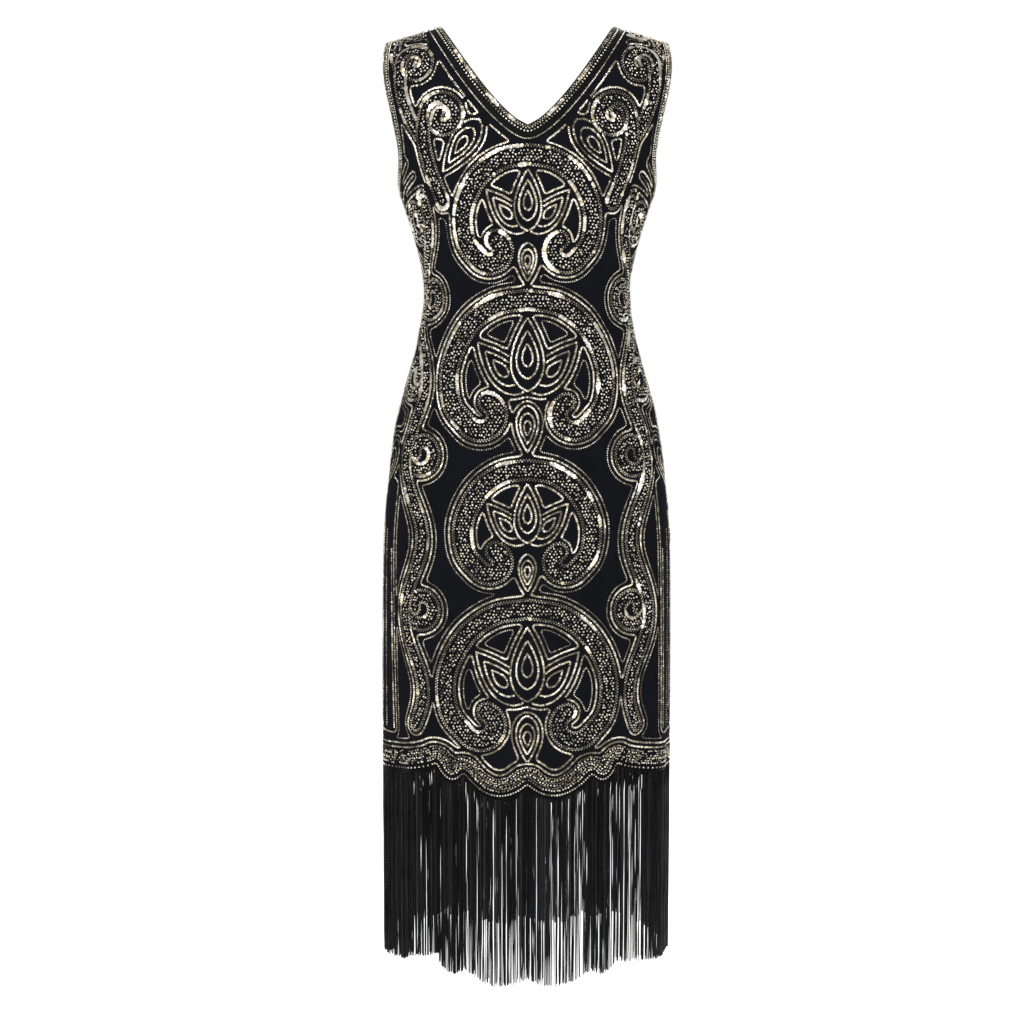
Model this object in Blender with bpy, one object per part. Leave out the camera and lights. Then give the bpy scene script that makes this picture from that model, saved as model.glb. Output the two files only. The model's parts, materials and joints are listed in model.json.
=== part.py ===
"""Sleeveless beaded flapper dress with a V neck, a scalloped hem and a long fringe.

The dress keeps the hollow form that it has when it is worn. +Z is up, -Y is the front, and the
origin lies midway between the two shoulder seams, where the wearer's shoulders carry it.
Each cut piece is a flat block in pattern space (column, row, layer) that is laid on the figure.
"""

import functools
import math
import random
from collections import namedtuple

import bmesh
import bpy
from mathutils import Vector

# ---- cloth and seams, metres
CLOTH = 0.0020
SEAM_GAP = 0.0003
TRIM_LIFT = 0.0007
TRIM_THICKNESS = 0.0012

# ---- the figure inside the dress: half width, and depth before and behind the side seams
Section = namedtuple("Section", "z half_width front back")
SECTIONS = (
    Section(0.012, 0.176, 0.088, 0.082),  # shoulder seam
    Section(-0.040, 0.181, 0.098, 0.096),
    Section(-0.097, 0.1695, 0.112, 0.107),  # upper chest and shoulder blades
    Section(-0.140, 0.1565, 0.125, 0.108),
    Section(-0.178, 0.150, 0.131, 0.106),  # underarm
    Section(-0.213, 0.139, 0.127, 0.101),  # below the bust
    Section(-0.260, 0.126, 0.106, 0.092),
    Section(-0.300, 0.1215, 0.096, 0.086),  # waist
    Section(-0.354, 0.129, 0.097, 0.090),
    Section(-0.401, 0.142, 0.102, 0.099),
    Section(-0.449, 0.155, 0.107, 0.109),
    Section(-0.521, 0.165, 0.112, 0.118),  # seat
    Section(-0.600, 0.171, 0.115, 0.121),
    Section(-0.900, 0.174, 0.117, 0.120),  # hem
    Section(-1.200, 0.174, 0.117, 0.120),
)
SQUARENESS = 2.3  # exponent of each section's superellipse, 2 is a plain ellipse

# ---- bust cups that the darts give
CUP_DEPTH = 0.008
CUP_X = 0.074
CUP_Z = -0.180
CUP_WIDTH = 0.042
CUP_HEIGHT = 0.050

# ---- neck, shoulders and armholes
NECK_POINT_X = 0.100
NECK_POINT_Z = 0.009
NECK_CURVE = 1.38  # 1 is a straight V, more rounds its sides
FRONT_V_Z = -0.112
BACK_V_Z = -0.140
SHOULDER_TIP_Z = -0.009
SHOULDER_ROLL = 0.075  # radius over the top of the shoulder
UNDERARM_Z = -0.178
ARMHOLE_ANGLE = math.radians(27)  # half the armhole's opening, seen from above
ARMHOLE_ROUND = 0.5  # share of its height that the round bottom takes

# ---- scalloped hem: arcs run from the centre to the side seam and on round it
Scallop = namedtuple("Scallop", "start end start_z end_z sag bluntness")
SCALLOPS = (
    Scallop(0.000, 0.076, -0.8645, -0.853, 0.020, 0.80),
    Scallop(0.076, 0.1075, -0.853, -0.845, 0.013, 0.80),
    Scallop(0.1075, 0.3725, -0.842, -0.842, 0.021, 0.60),
)
HEM_LEVEL = -0.862

# ---- folds: troughs that start under the hips and deepen to the hem, turned from centre front
Fold = namedtuple("Fold", "turn spread depth top")
FOLDS = (
    Fold(-61, 9, 0.0075, -0.56),
    Fold(-24, 7, 0.0030, -0.66),
    Fold(13, 8, 0.0025, -0.62),
    Fold(48, 9, 0.0060, -0.54),
    Fold(76, 8, 0.0040, -0.60),
    Fold(112, 9, 0.0065, -0.55),
    Fold(146, 8, 0.0040, -0.64),
    Fold(-175, 8, 0.0045, -0.60),
    Fold(-138, 9, 0.0065, -0.56),
    Fold(-99, 8, 0.0040, -0.62),
)
FOLD_GROWTH = 1.4  # 1 deepens evenly down to the hem, more keeps the top of a fold shallow

# ---- panel layout: stations across the half hem, and rows up the body
STATIONS = (0.000, 0.015, 0.030, 0.045, 0.061, 0.076, 0.084, 0.092, 0.100, 0.1075,
            0.128, 0.155, 0.185, 0.213)
Row = namedtuple("Row", "z hem_share")
BODY_ROWS = (
    Row(HEM_LEVEL, 1.0), Row(-0.824, 0.35), Row(-0.780, 0.0), Row(-0.715, 0.0),
    Row(-0.650, 0.0), Row(-0.590, 0.0), Row(-0.535, 0.0), Row(-0.485, 0.0),
    Row(-0.440, 0.0), Row(-0.400, 0.0), Row(-0.360, 0.0), Row(-0.325, 0.0),
    Row(-0.295, 0.0), Row(-0.266, 0.0), Row(-0.240, 0.0), Row(-0.217, 0.0),
    Row(-0.196, 0.0), Row(UNDERARM_Z, 0.0),
)
CHEST_STEPS = (0.05, 0.17, 0.38, 0.66, 1.0)  # from the underarm up to the V's tip
STRAP_STEPS = (0.15, 0.30, 0.45, 0.59, 0.72, 0.83, 0.91, 0.97, 1.0)  # on to the shoulder seam

# ---- trims
NECK_BAND = 0.016
NECK_BAND_COLUMNS = 13  # from the V's tip to the shoulder seam
SEAM_TURN = 6  # how late a neck band's cross lines turn to lie along the shoulder seam
ARMHOLE_BAND = 0.011
ARMHOLE_BAND_COLUMNS = 12  # from the underarm to the shoulder seam
HEM_BAND = 0.027
BAND_INSET = 0.0005

# ---- fringe
STRANDS = 100  # on each of the front and the back
STRIP_GAP = 0.0008  # under the hem edge
STRIP_HEIGHT = 0.006
STRAND_LENGTH = 0.226
STRAND_WIDTH = 0.0022
STRAND_TIP = 0.0014
STRAND_STEPS = 2
STRAND_SWAY = 0.0007  # sideways, halfway down
STRAND_RAGGED = 0.008  # the most that a strand is cut short
TIP_LEVELLING = 0.25  # how far the cut of the tips evens out the scallops

# ---- finishes
Finish = namedtuple("Finish", "name colour roughness metallic")
NET_BLACK = Finish("black_stretch_net", (0.012, 0.012, 0.014, 1), 0.72, 0.0)
BEAD_SILVER = Finish("silver_beaded_trim", (0.56, 0.53, 0.45, 1), 0.32, 0.85)
FRINGE_BLACK = Finish("black_rayon_fringe", (0.010, 0.010, 0.011, 1), 0.48, 0.0)


# ---------------------------------------------------------------- the figure

@functools.lru_cache(maxsize=None)
def section_at(z):
    """The figure's section at height z, on a smooth curve through the rows of SECTIONS."""
    low = 0
    while low < len(SECTIONS) - 2 and z < SECTIONS[low + 1].z:
        low += 1
    upper, lower = SECTIONS[low], SECTIONS[low + 1]
    above, below = SECTIONS[max(low - 1, 0)], SECTIONS[min(low + 2, len(SECTIONS) - 1)]
    span = lower.z - upper.z
    t = min(max((z - upper.z) / span, 0.0), 1.0)
    sizes = []
    for a, b, before, after in zip(upper[1:], lower[1:], above[1:], below[1:]):
        leave = (b - before) / (lower.z - above.z) * span
        arrive = (after - a) / (below.z - upper.z) * span
        sizes.append(
            (2 * t**3 - 3 * t**2 + 1) * a + (t**3 - 2 * t**2 + t) * leave
            + (3 * t**2 - 2 * t**3) * b + (t**3 - t**2) * arrive
        )
    return Section(z, *sizes)


def plan_point(section, turn):
    """(x, y) on a section; turn is the angle from centre front, positive towards +X."""
    ahead, aside = math.cos(turn), math.sin(turn)
    reach = (abs(ahead)**SQUARENESS + abs(aside)**SQUARENESS)**(-1 / SQUARENESS)
    depth = section.front if ahead >= 0 else section.back
    return section.half_width * reach * aside, -depth * reach * ahead


def turn_at_x(section, x):
    """The turn, in the front quarter, at which a section reaches the half width x."""
    share = x / section.half_width
    return math.atan(share / (1 - share**SQUARENESS)**(1 / SQUARENESS))


def armhole_turn(z):
    """Turn of the armhole's front edge, 90 degrees at the underarm and less above it."""
    height = (z - UNDERARM_Z) / (SHOULDER_TIP_Z - UNDERARM_Z)
    rise = min(max(height / ARMHOLE_ROUND, 0.0), 1.0)
    return math.pi / 2 - ARMHOLE_ANGLE * math.sqrt(1 - (1 - rise)**2)


SHOULDER_TIP_X = plan_point(section_at(SHOULDER_TIP_Z), armhole_turn(SHOULDER_TIP_Z))[0]
SHOULDER_SLOPE = (NECK_POINT_Z - SHOULDER_TIP_Z) / (SHOULDER_TIP_X - NECK_POINT_X)


def shoulder_height(x):
    return NECK_POINT_Z - SHOULDER_SLOPE * (abs(x) - NECK_POINT_X)


def fold_depth(turn, z):
    """How far the folds draw the cloth inwards."""
    depth = 0.0
    for fold in FOLDS:
        away = (math.degrees(turn) - fold.turn + 180) % 360 - 180
        fall = min(max((fold.top - z) / (fold.top - HEM_LEVEL), 0.0), 1.0)
        depth += fold.depth * math.exp(-(away / fold.spread)**2) * fall**FOLD_GROWTH
    return depth


def cup_depth(x, z):
    """How far the bust darts push the front outwards."""
    across = (abs(x) - CUP_X) / CUP_WIDTH
    up = (z - CUP_Z) / CUP_HEIGHT
    return CUP_DEPTH * math.exp(-across**2 - up**2)


def figure_point(turn, z):
    """A point of the dress's outer surface."""
    x, y = plan_point(section_at(z), turn)
    drop = max(shoulder_height(x) - z, 0.0)
    if drop < SHOULDER_ROLL:
        y *= math.sqrt(1 - (1 - drop / SHOULDER_ROLL)**2)
    if y < 0:
        y -= cup_depth(x, z) * min(-y / CUP_DEPTH, 1.0)
    keep = 1 - fold_depth(turn, z) / max(math.hypot(x, y), CLOTH)
    return Vector((x * keep, y * keep, z))


def interpolate(value, known, wanted):
    """wanted at value, straight between the entries of the rising list known."""
    last = len(known) - 2
    i = 0
    while i < last and value > known[i + 1]:
        i += 1
    t = (value - known[i]) / (known[i + 1] - known[i])
    return wanted[i] + (wanted[i + 1] - wanted[i]) * t


@functools.lru_cache(maxsize=None)
def girth(z, behind):
    """Turns, and arc lengths along the section at height z, from the centre to the side."""
    steps = 90
    section = section_at(z)
    turns = [math.pi / 2 * i / steps for i in range(steps + 1)]
    points = [plan_point(section, math.pi - t if behind else t) for t in turns]
    arcs = [0.0]
    for a, b in zip(points, points[1:]):
        arcs.append(arcs[-1] + math.dist(a, b))
    return turns, arcs


def arc_at(turn, z, behind):
    return interpolate(turn, *girth(z, behind))


def turn_at(arc, z, behind):
    turns, arcs = girth(z, behind)
    return interpolate(arc, arcs, turns)


def between(z, first, last, share, behind):
    """The turn that lies a share of the way, along the cloth, between two turns."""
    start, end = arc_at(first, z, behind), arc_at(last, z, behind)
    return turn_at(start + (end - start) * share, z, behind)


def shoulder_point(turn):
    """(turn, height) on the shoulder seam."""
    height = NECK_POINT_Z
    for _ in range(4):
        height = shoulder_height(plan_point(section_at(height), turn)[0])
    return turn, height


# ---------------------------------------------------------------- the outlines

def closing(share):
    """Steps that shorten towards 1, as the cloth turns over the top of the shoulder."""
    return 1 - (1 - share)**2


def neckline(share, tip_z):
    """(x, z) of the neckline, from the V's tip (0) to the shoulder seam (1)."""
    return NECK_POINT_X * share, tip_z + (NECK_POINT_Z - tip_z) * share**NECK_CURVE


def armhole(share):
    """(turn, z) of the armhole's edge, from the underarm (0) to the shoulder seam (1)."""
    if share < ARMHOLE_ROUND:
        height = ARMHOLE_ROUND * (1 - math.cos(math.pi / 2 * share / ARMHOLE_ROUND))
    else:
        height = ARMHOLE_ROUND + (1 - ARMHOLE_ROUND) * closing(
            (share - ARMHOLE_ROUND) / (1 - ARMHOLE_ROUND))
    z = UNDERARM_Z + (SHOULDER_TIP_Z - UNDERARM_Z) * height
    return armhole_turn(z), z


def scallop_height(arc):
    """Height of the curved hem at an arc length from the centre."""
    piece = next(s for s in SCALLOPS if arc <= s.end)
    t = (arc - piece.start) / (piece.end - piece.start)
    straight = piece.start_z + (piece.end_z - piece.start_z) * t
    return straight - piece.sag * math.sin(math.pi * t)**piece.bluntness


@functools.lru_cache(maxsize=None)
def hem_stations(behind):
    """Arc lengths of the panel's columns at the hem, from the centre to the side seam."""
    return (*STATIONS, girth(HEM_LEVEL, behind)[1][-1])


@functools.lru_cache(maxsize=None)
def hem_heights(behind):
    return tuple(scallop_height(arc) for arc in hem_stations(behind))


def hem_height(arc, behind):
    """Height of the hem as it is cut: straight between the stations."""
    return interpolate(arc, hem_stations(behind), hem_heights(behind))


# ---------------------------------------------------------------- laying a piece

def pattern_block(columns, rows):
    """A closed block of columns by rows cells, one layer thick, at whole-number coordinates."""
    block = bmesh.new()
    bmesh.ops.create_grid(block, x_segments=columns, y_segments=rows, size=0.5)
    for vert in block.verts:
        vert.co = (round((vert.co.x + 0.5) * columns), round((vert.co.y + 0.5) * rows), 0)
    raised = bmesh.ops.extrude_face_region(block, geom=block.faces[:])["geom"]
    for vert in raised:
        if isinstance(vert, bmesh.types.BMVert):
            vert.co.z = 1
    return block


def open_edge(block, column, rows):
    """Removes the edge faces of one column, up to a row, where the piece goes on."""
    cut = [f for f in block.faces
           if all(round(v.co.x) == column and round(v.co.y) <= rows for v in f.verts)]
    bmesh.ops.delete(block, geom=cut, context="FACES")


def close_ring(block, columns, rows):
    """Joins a block's last column to its first, as for a band that goes all round."""
    open_edge(block, 0, rows)
    open_edge(block, columns, rows)
    for vert in block.verts:
        vert.co.x = round(vert.co.x) % columns
    bmesh.ops.remove_doubles(block, verts=block.verts[:], dist=0.01)


def lay(block, place, lift, thickness):
    """Lays a pattern block on the figure: place(column, row) is its point on the outer surface,
    and lift and thickness are measured outwards. Edges on a seam stay square to it."""
    cells = {(round(v.co.x), round(v.co.y), round(v.co.z)): v for v in block.verts}
    spots = {key: place(*key[:2]) for key in cells if key[2] == 0}
    outward = {key: Vector() for key in spots}
    for face in block.faces:
        keys = [(round(v.co.x), round(v.co.y), round(v.co.z)) for v in face.verts]
        if any(key[2] for key in keys):
            continue
        a, b, c, d = (spots[key] for key in keys)
        normal = (c - a).cross(d - b).normalized()
        middle = (a + b + c + d) / 4
        if normal.dot((middle.x, middle.y, max(middle.z + 0.10, 0))) < 0:
            normal.negate()
        for key in keys:
            outward[key] += normal
    for key, vert in cells.items():
        base = (*key[:2], 0)
        spot, normal = spots[base], outward[base].copy()
        if abs(spot.y) <= SEAM_GAP:
            normal.y = 0
        if spot.x == 0:
            normal.x = 0
        vert.co = spot + normal.normalized() * (lift + thickness * key[2])


def finish(name, block, look, collection):
    """Makes one named piece of the dress from its bmesh."""
    bmesh.ops.recalc_face_normals(block, faces=block.faces[:])
    if block.calc_volume(signed=True) < 0:
        bmesh.ops.reverse_faces(block, faces=block.faces[:])
    mesh = bpy.data.meshes.new(name)
    block.to_mesh(mesh)
    block.free()
    mesh.shade_smooth()
    mesh.set_sharp_from_angle(angle=math.radians(50))
    mesh.materials.append(material_for(look))
    collection.objects.link(bpy.data.objects.new(name, mesh))


def material_for(look):
    material = bpy.data.materials.get(look.name)
    if material is None:
        material = bpy.data.materials.new(look.name)
        material.use_nodes = True
        shader = material.node_tree.nodes["Principled BSDF"]
        shader.inputs["Base Color"].default_value = look.colour
        shader.inputs["Roughness"].default_value = look.roughness
        shader.inputs["Metallic"].default_value = look.metallic
    return material


def dress_point(turn, z, hand, behind):
    """figure_point on the wearer's right (hand -1) or left (1), half the seam gap off the seams
    between front and back. turn is measured from the centre front, or from the centre back."""
    point = figure_point(hand * (math.pi - turn if behind else turn), z)
    if turn == 0:
        point.x = 0.0
    side = 1 if behind else -1
    point.y = side * max(side * point.y, SEAM_GAP / 2)
    return point


# ---------------------------------------------------------------- panels

def panel_spot(share, row, tip_z, behind):
    """(turn, height) at a share of the way from a panel's inner edge to its side."""
    if row < len(BODY_ROWS):
        z, hem_share = BODY_ROWS[row]
        arc = share * hem_stations(behind)[-1]
        z_here = z + hem_share * (hem_height(arc, behind) - HEM_LEVEL)
        return between(z, 0.0, math.pi / 2, share, behind), z_here
    row -= len(BODY_ROWS)
    if row < len(CHEST_STEPS):
        z = UNDERARM_Z + (tip_z - UNDERARM_Z) * CHEST_STEPS[row]
        return between(z, 0.0, armhole_turn(z), share, behind), z
    neck_turn = turn_at_x(section_at(NECK_POINT_Z), NECK_POINT_X)
    tip_turn = armhole_turn(SHOULDER_TIP_Z)
    turn, top = shoulder_point(between(SHOULDER_TIP_Z, neck_turn, tip_turn, share, behind))
    step = STRAP_STEPS[row - len(CHEST_STEPS)]
    if step == 1:
        return turn, top
    inner, here, outer = (tip_z + (z - tip_z) * step
                          for z in (NECK_POINT_Z, top, SHOULDER_TIP_Z))
    neck_x = neckline(step**(1 / NECK_CURVE), tip_z)[0]
    first = turn_at_x(section_at(inner), neck_x)
    return between(here, first, armhole_turn(outer), share, behind), here


def make_panel(name, tip_z, behind, collection):
    """A front or back, whose two halves part above the V's tip. Each half takes every second
    column, and its neck edge takes column 1, so that no two corners share a place."""
    stations = hem_stations(behind)
    columns = len(stations) - 1
    rows = len(BODY_ROWS) + len(CHEST_STEPS) + len(STRAP_STEPS) - 1
    tip_row = len(BODY_ROWS) + len(CHEST_STEPS) - 1

    def place(column, row):
        share = stations[abs(column) // 2] / stations[-1]
        return dress_point(*panel_spot(share, row, tip_z, behind), math.copysign(1, column), behind)

    panel = pattern_block(columns, rows)
    open_edge(panel, 0, tip_row)
    for vert in panel.verts:
        at_neck = vert.co.x == 0 and vert.co.y > tip_row
        vert.co.x = 1 if at_neck else 2 * vert.co.x
    right = bmesh.ops.duplicate(panel, geom=[*panel.verts, *panel.edges, *panel.faces])["geom"]
    for vert in right:
        if isinstance(vert, bmesh.types.BMVert):
            vert.co.x *= -1
    bmesh.ops.remove_doubles(panel, verts=panel.verts[:], dist=0.01)
    lay(panel, place, -CLOTH, CLOTH)
    finish(name, panel, NET_BLACK, collection)


# ---------------------------------------------------------------- bands

def make_neck_band(name, tip_z, behind, collection):
    """The beaded band along one V, from shoulder seam to shoulder seam."""
    def place(column, row):
        hand = 1 if column >= NECK_BAND_COLUMNS else -1
        share = closing(abs(column - NECK_BAND_COLUMNS) / NECK_BAND_COLUMNS)
        x, z = neckline(share, tip_z)
        rise = (NECK_POINT_Z - tip_z) * NECK_CURVE * share**(NECK_CURVE - 1)
        square = Vector((rise, -NECK_POINT_X)).normalized()
        seam = Vector((1, -SHOULDER_SLOPE)).normalized()
        out = square.lerp(seam, share**SEAM_TURN).normalized()
        across = BAND_INSET + NECK_BAND * row
        x += out.x * across if share else 0
        z += out.y * across
        turn = turn_at_x(section_at(z), x)
        if share == 1:
            turn, z = shoulder_point(turn)
        return dress_point(turn, z, hand, behind)

    band = pattern_block(2 * NECK_BAND_COLUMNS, 1)
    lay(band, place, TRIM_LIFT, TRIM_THICKNESS)
    finish(name, band, BEAD_SILVER, collection)


def armhole_spot(share, behind):
    """(arc from the side seam, z) of the armhole's edge."""
    turn, z = armhole(share)
    return Vector((arc_at(math.pi / 2, z, behind) - arc_at(turn, z, behind), z))


def make_armhole_band(name, hand, collection):
    """The beaded band that goes all round one armhole."""
    def place(column, row):
        behind = column > ARMHOLE_BAND_COLUMNS
        share = abs(column - ARMHOLE_BAND_COLUMNS) / ARMHOLE_BAND_COLUMNS
        step = 0.1 / ARMHOLE_BAND_COLUMNS
        along = (armhole_spot(min(share + step, 1), behind)
                 - armhole_spot(max(share - step, 0), behind))
        out = Vector((along.y, -along.x)).normalized()
        arc, z = armhole_spot(share, behind) + out * (BAND_INSET + ARMHOLE_BAND * row)
        turn = turn_at(arc_at(math.pi / 2, z, behind) - arc, z, behind)
        if share == 1:
            turn, z = shoulder_point(turn)
        point = dress_point(turn, z, hand, behind)
        if share in (0, 1):
            point.y = 0.0
        return point

    band = pattern_block(2 * ARMHOLE_BAND_COLUMNS, 1)
    close_ring(band, 2 * ARMHOLE_BAND_COLUMNS, 1)
    lay(band, place, TRIM_LIFT, TRIM_THICKNESS)
    finish(name, band, BEAD_SILVER, collection)


def make_hem_band(name, behind, collection):
    """The beaded border that follows the scallops of one panel."""
    stations = hem_stations(behind)
    last = len(stations) - 1

    def place(column, row):
        arc = stations[abs(column - last)]
        z = hem_height(arc, behind) + BAND_INSET + HEM_BAND * row
        turn = between(HEM_LEVEL, 0.0, math.pi / 2, arc / stations[-1], behind)
        return dress_point(turn, z, 1 if column >= last else -1, behind)

    band = pattern_block(2 * last, 1)
    lay(band, place, TRIM_LIFT, TRIM_THICKNESS)
    finish(name, band, BEAD_SILVER, collection)


# ---------------------------------------------------------------- fringe

def make_fringe(name, behind, seed, collection):
    """Strands that hang from a narrow tape under the hem of one panel. Their roots are every
    second cell of the tape, and each strand is drawn out of its cell's lower edge."""
    rng = random.Random(seed)
    half = hem_stations(behind)[-1]
    pitch = 2 * half / STRANDS
    columns = 2 * STRANDS + 1
    sways = [rng.uniform(-STRAND_SWAY, STRAND_SWAY) for _ in range(STRANDS)]
    lengths = [STRAND_LENGTH - rng.uniform(0, STRAND_RAGGED) for _ in range(STRANDS)]

    def place(column, row):
        if column in (0, columns):
            arc = math.copysign(half, column - 1)
            return hang(arc, hem_height(half, behind) - STRIP_GAP - STRIP_HEIGHT * (1 - row))
        strand = (column - 1) // 2
        middle = (strand + 0.5) * pitch - half
        fall = max(-row, 0) / STRAND_STEPS
        width = STRAND_WIDTH + (STRAND_TIP - STRAND_WIDTH) * fall
        arc = middle + (width / 2 if column % 2 == 0 else -width / 2)
        z = hem_height(abs(arc), behind) - STRIP_GAP - STRIP_HEIGHT * (1 - max(row, 0))
        evened = TIP_LEVELLING * (HEM_LEVEL - hem_height(abs(middle), behind))
        z -= (lengths[strand] - evened) * fall
        return hang(arc + sways[strand] * math.sin(math.pi * fall), z)

    def hang(arc, z):
        return dress_point(turn_at(abs(arc), HEM_LEVEL, behind), z, math.copysign(1, arc), behind)

    fringe = pattern_block(columns, 1)
    roots = [f for f in fringe.faces
             if all(round(v.co.y) == 0 for v in f.verts)
             and min(round(v.co.x) for v in f.verts) % 2 == 1]
    for _ in range(STRAND_STEPS):
        roots = bmesh.ops.extrude_discrete_faces(fringe, faces=roots)["faces"]
        for vert in {v for f in roots for v in f.verts}:
            vert.co.y -= 1
    lay(fringe, place, -CLOTH, CLOTH)
    finish(name, fringe, FRINGE_BLACK, collection)


def main():
    for old in list(bpy.data.objects):
        bpy.data.objects.remove(old)
    dress = bpy.data.collections.new("flapper_dress")
    bpy.context.scene.collection.children.link(dress)
    for label, tip_z, behind, seed in (("front", FRONT_V_Z, False, 3), ("back", BACK_V_Z, True, 8)):
        make_panel(f"{label}_panel", tip_z, behind, dress)
        make_neck_band(f"{label}_neck_band", tip_z, behind, dress)
        make_hem_band(f"{label}_hem_band", behind, dress)
        make_fringe(f"{label}_fringe", behind, seed, dress)
    make_armhole_band("right_armhole_band", -1, dress)
    make_armhole_band("left_armhole_band", 1, dress)


main()
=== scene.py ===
"""Looks of a sleeveless flapper dress: black stretch net with silver and champagne beadwork,
beaded bands at the neck, armholes and scalloped hem, and a long fringe of twisted cord.

Places on the cut cloth are (u, v): u is the arc length from the centre line, positive towards the
wearer's left, and v is the height, measured along the cloth where it turns over the shoulder.
"""

import contextlib
import functools
import json
import math
from collections import namedtuple

import bmesh
import bpy
import numpy as np
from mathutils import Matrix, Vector
from mathutils.kdtree import KDTree

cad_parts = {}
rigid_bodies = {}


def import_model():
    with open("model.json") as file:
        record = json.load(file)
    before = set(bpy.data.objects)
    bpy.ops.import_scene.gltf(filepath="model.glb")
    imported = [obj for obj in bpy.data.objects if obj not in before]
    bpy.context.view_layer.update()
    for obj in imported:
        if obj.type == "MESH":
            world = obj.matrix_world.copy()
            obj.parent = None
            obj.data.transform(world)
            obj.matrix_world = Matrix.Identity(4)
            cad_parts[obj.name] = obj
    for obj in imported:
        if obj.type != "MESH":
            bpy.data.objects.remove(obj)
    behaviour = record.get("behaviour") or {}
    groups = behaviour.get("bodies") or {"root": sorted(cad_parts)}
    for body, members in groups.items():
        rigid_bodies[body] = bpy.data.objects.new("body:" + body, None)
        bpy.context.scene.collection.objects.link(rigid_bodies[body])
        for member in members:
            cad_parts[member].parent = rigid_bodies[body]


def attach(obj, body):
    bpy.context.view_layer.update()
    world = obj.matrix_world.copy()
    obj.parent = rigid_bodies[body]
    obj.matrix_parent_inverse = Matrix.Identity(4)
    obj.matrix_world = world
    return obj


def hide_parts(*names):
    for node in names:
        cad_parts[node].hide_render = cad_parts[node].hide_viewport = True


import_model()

bl_info = {
    "name": "Beaded flapper dress",
    "version": (1, 0, 0),
    "blender": (4, 5, 0),
    "location": "3D View > Sidebar > Dress",
    "description": "Dresses the packed flapper dress in net, beadwork and fringe",
    "category": "Add Mesh",
}

MM = 0.001
BODY = "root"
SIDES = (("front", False), ("back", True))  # each side's name, and whether it is behind

# ---------------------------------------------------------------- the figure, as in the solids

Section = namedtuple("Section", "z half_width front back")
SECTIONS = (
    Section(0.012, 0.176, 0.088, 0.082),  # shoulder seam
    Section(-0.040, 0.181, 0.098, 0.096),
    Section(-0.097, 0.1695, 0.112, 0.107),  # upper chest and shoulder blades
    Section(-0.140, 0.1565, 0.125, 0.108),
    Section(-0.178, 0.150, 0.131, 0.106),  # underarm
    Section(-0.213, 0.139, 0.127, 0.101),  # below the bust
    Section(-0.260, 0.126, 0.106, 0.092),
    Section(-0.300, 0.1215, 0.096, 0.086),  # waist
    Section(-0.354, 0.129, 0.097, 0.090),
    Section(-0.401, 0.142, 0.102, 0.099),
    Section(-0.449, 0.155, 0.107, 0.109),
    Section(-0.521, 0.165, 0.112, 0.118),  # seat
    Section(-0.600, 0.171, 0.115, 0.121),
    Section(-0.900, 0.174, 0.117, 0.120),  # hem
    Section(-1.200, 0.174, 0.117, 0.120),
)
SQUARENESS = 2.3  # exponent of each section's superellipse
CUP_DEPTH, CUP_X, CUP_Z, CUP_WIDTH, CUP_HEIGHT = 0.008, 0.074, -0.180, 0.042, 0.050

NECK_POINT_X, NECK_POINT_Z = 0.100, 0.009
NECK_CURVE = 1.38  # 1 is a straight V, more rounds its sides
V_TIP = {False: -0.112, True: -0.140}  # front, back
SHOULDER_TIP_Z = -0.009
SHOULDER_ROLL = 0.075  # height of the cloth's turn over the shoulder
ROLL_REACH = 0.070  # mean radius of that turn along the cloth
UNDERARM_Z = -0.178
ARMHOLE_ANGLE = math.radians(27)  # half the armhole's opening, seen from above
ARMHOLE_ROUND = 0.5  # share of its height that the round bottom takes

Scallop = namedtuple("Scallop", "start end start_z end_z sag bluntness")
SCALLOPS = (
    Scallop(0.000, 0.076, -0.8645, -0.853, 0.020, 0.80),
    Scallop(0.076, 0.1075, -0.853, -0.845, 0.013, 0.80),
    Scallop(0.1075, 0.3725, -0.842, -0.842, 0.021, 0.60),
)
HEM_LEVEL = -0.862

Fold = namedtuple("Fold", "turn spread depth top")
FOLDS = (
    Fold(-61, 9, 0.0075, -0.56), Fold(-24, 7, 0.0030, -0.66), Fold(13, 8, 0.0025, -0.62),
    Fold(48, 9, 0.0060, -0.54), Fold(76, 8, 0.0040, -0.60), Fold(112, 9, 0.0065, -0.55),
    Fold(146, 8, 0.0040, -0.64), Fold(-175, 8, 0.0045, -0.60), Fold(-138, 9, 0.0065, -0.56),
    Fold(-99, 8, 0.0040, -0.62),
)
FOLD_GROWTH = 1.4  # 1 deepens evenly down to the hem

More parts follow.
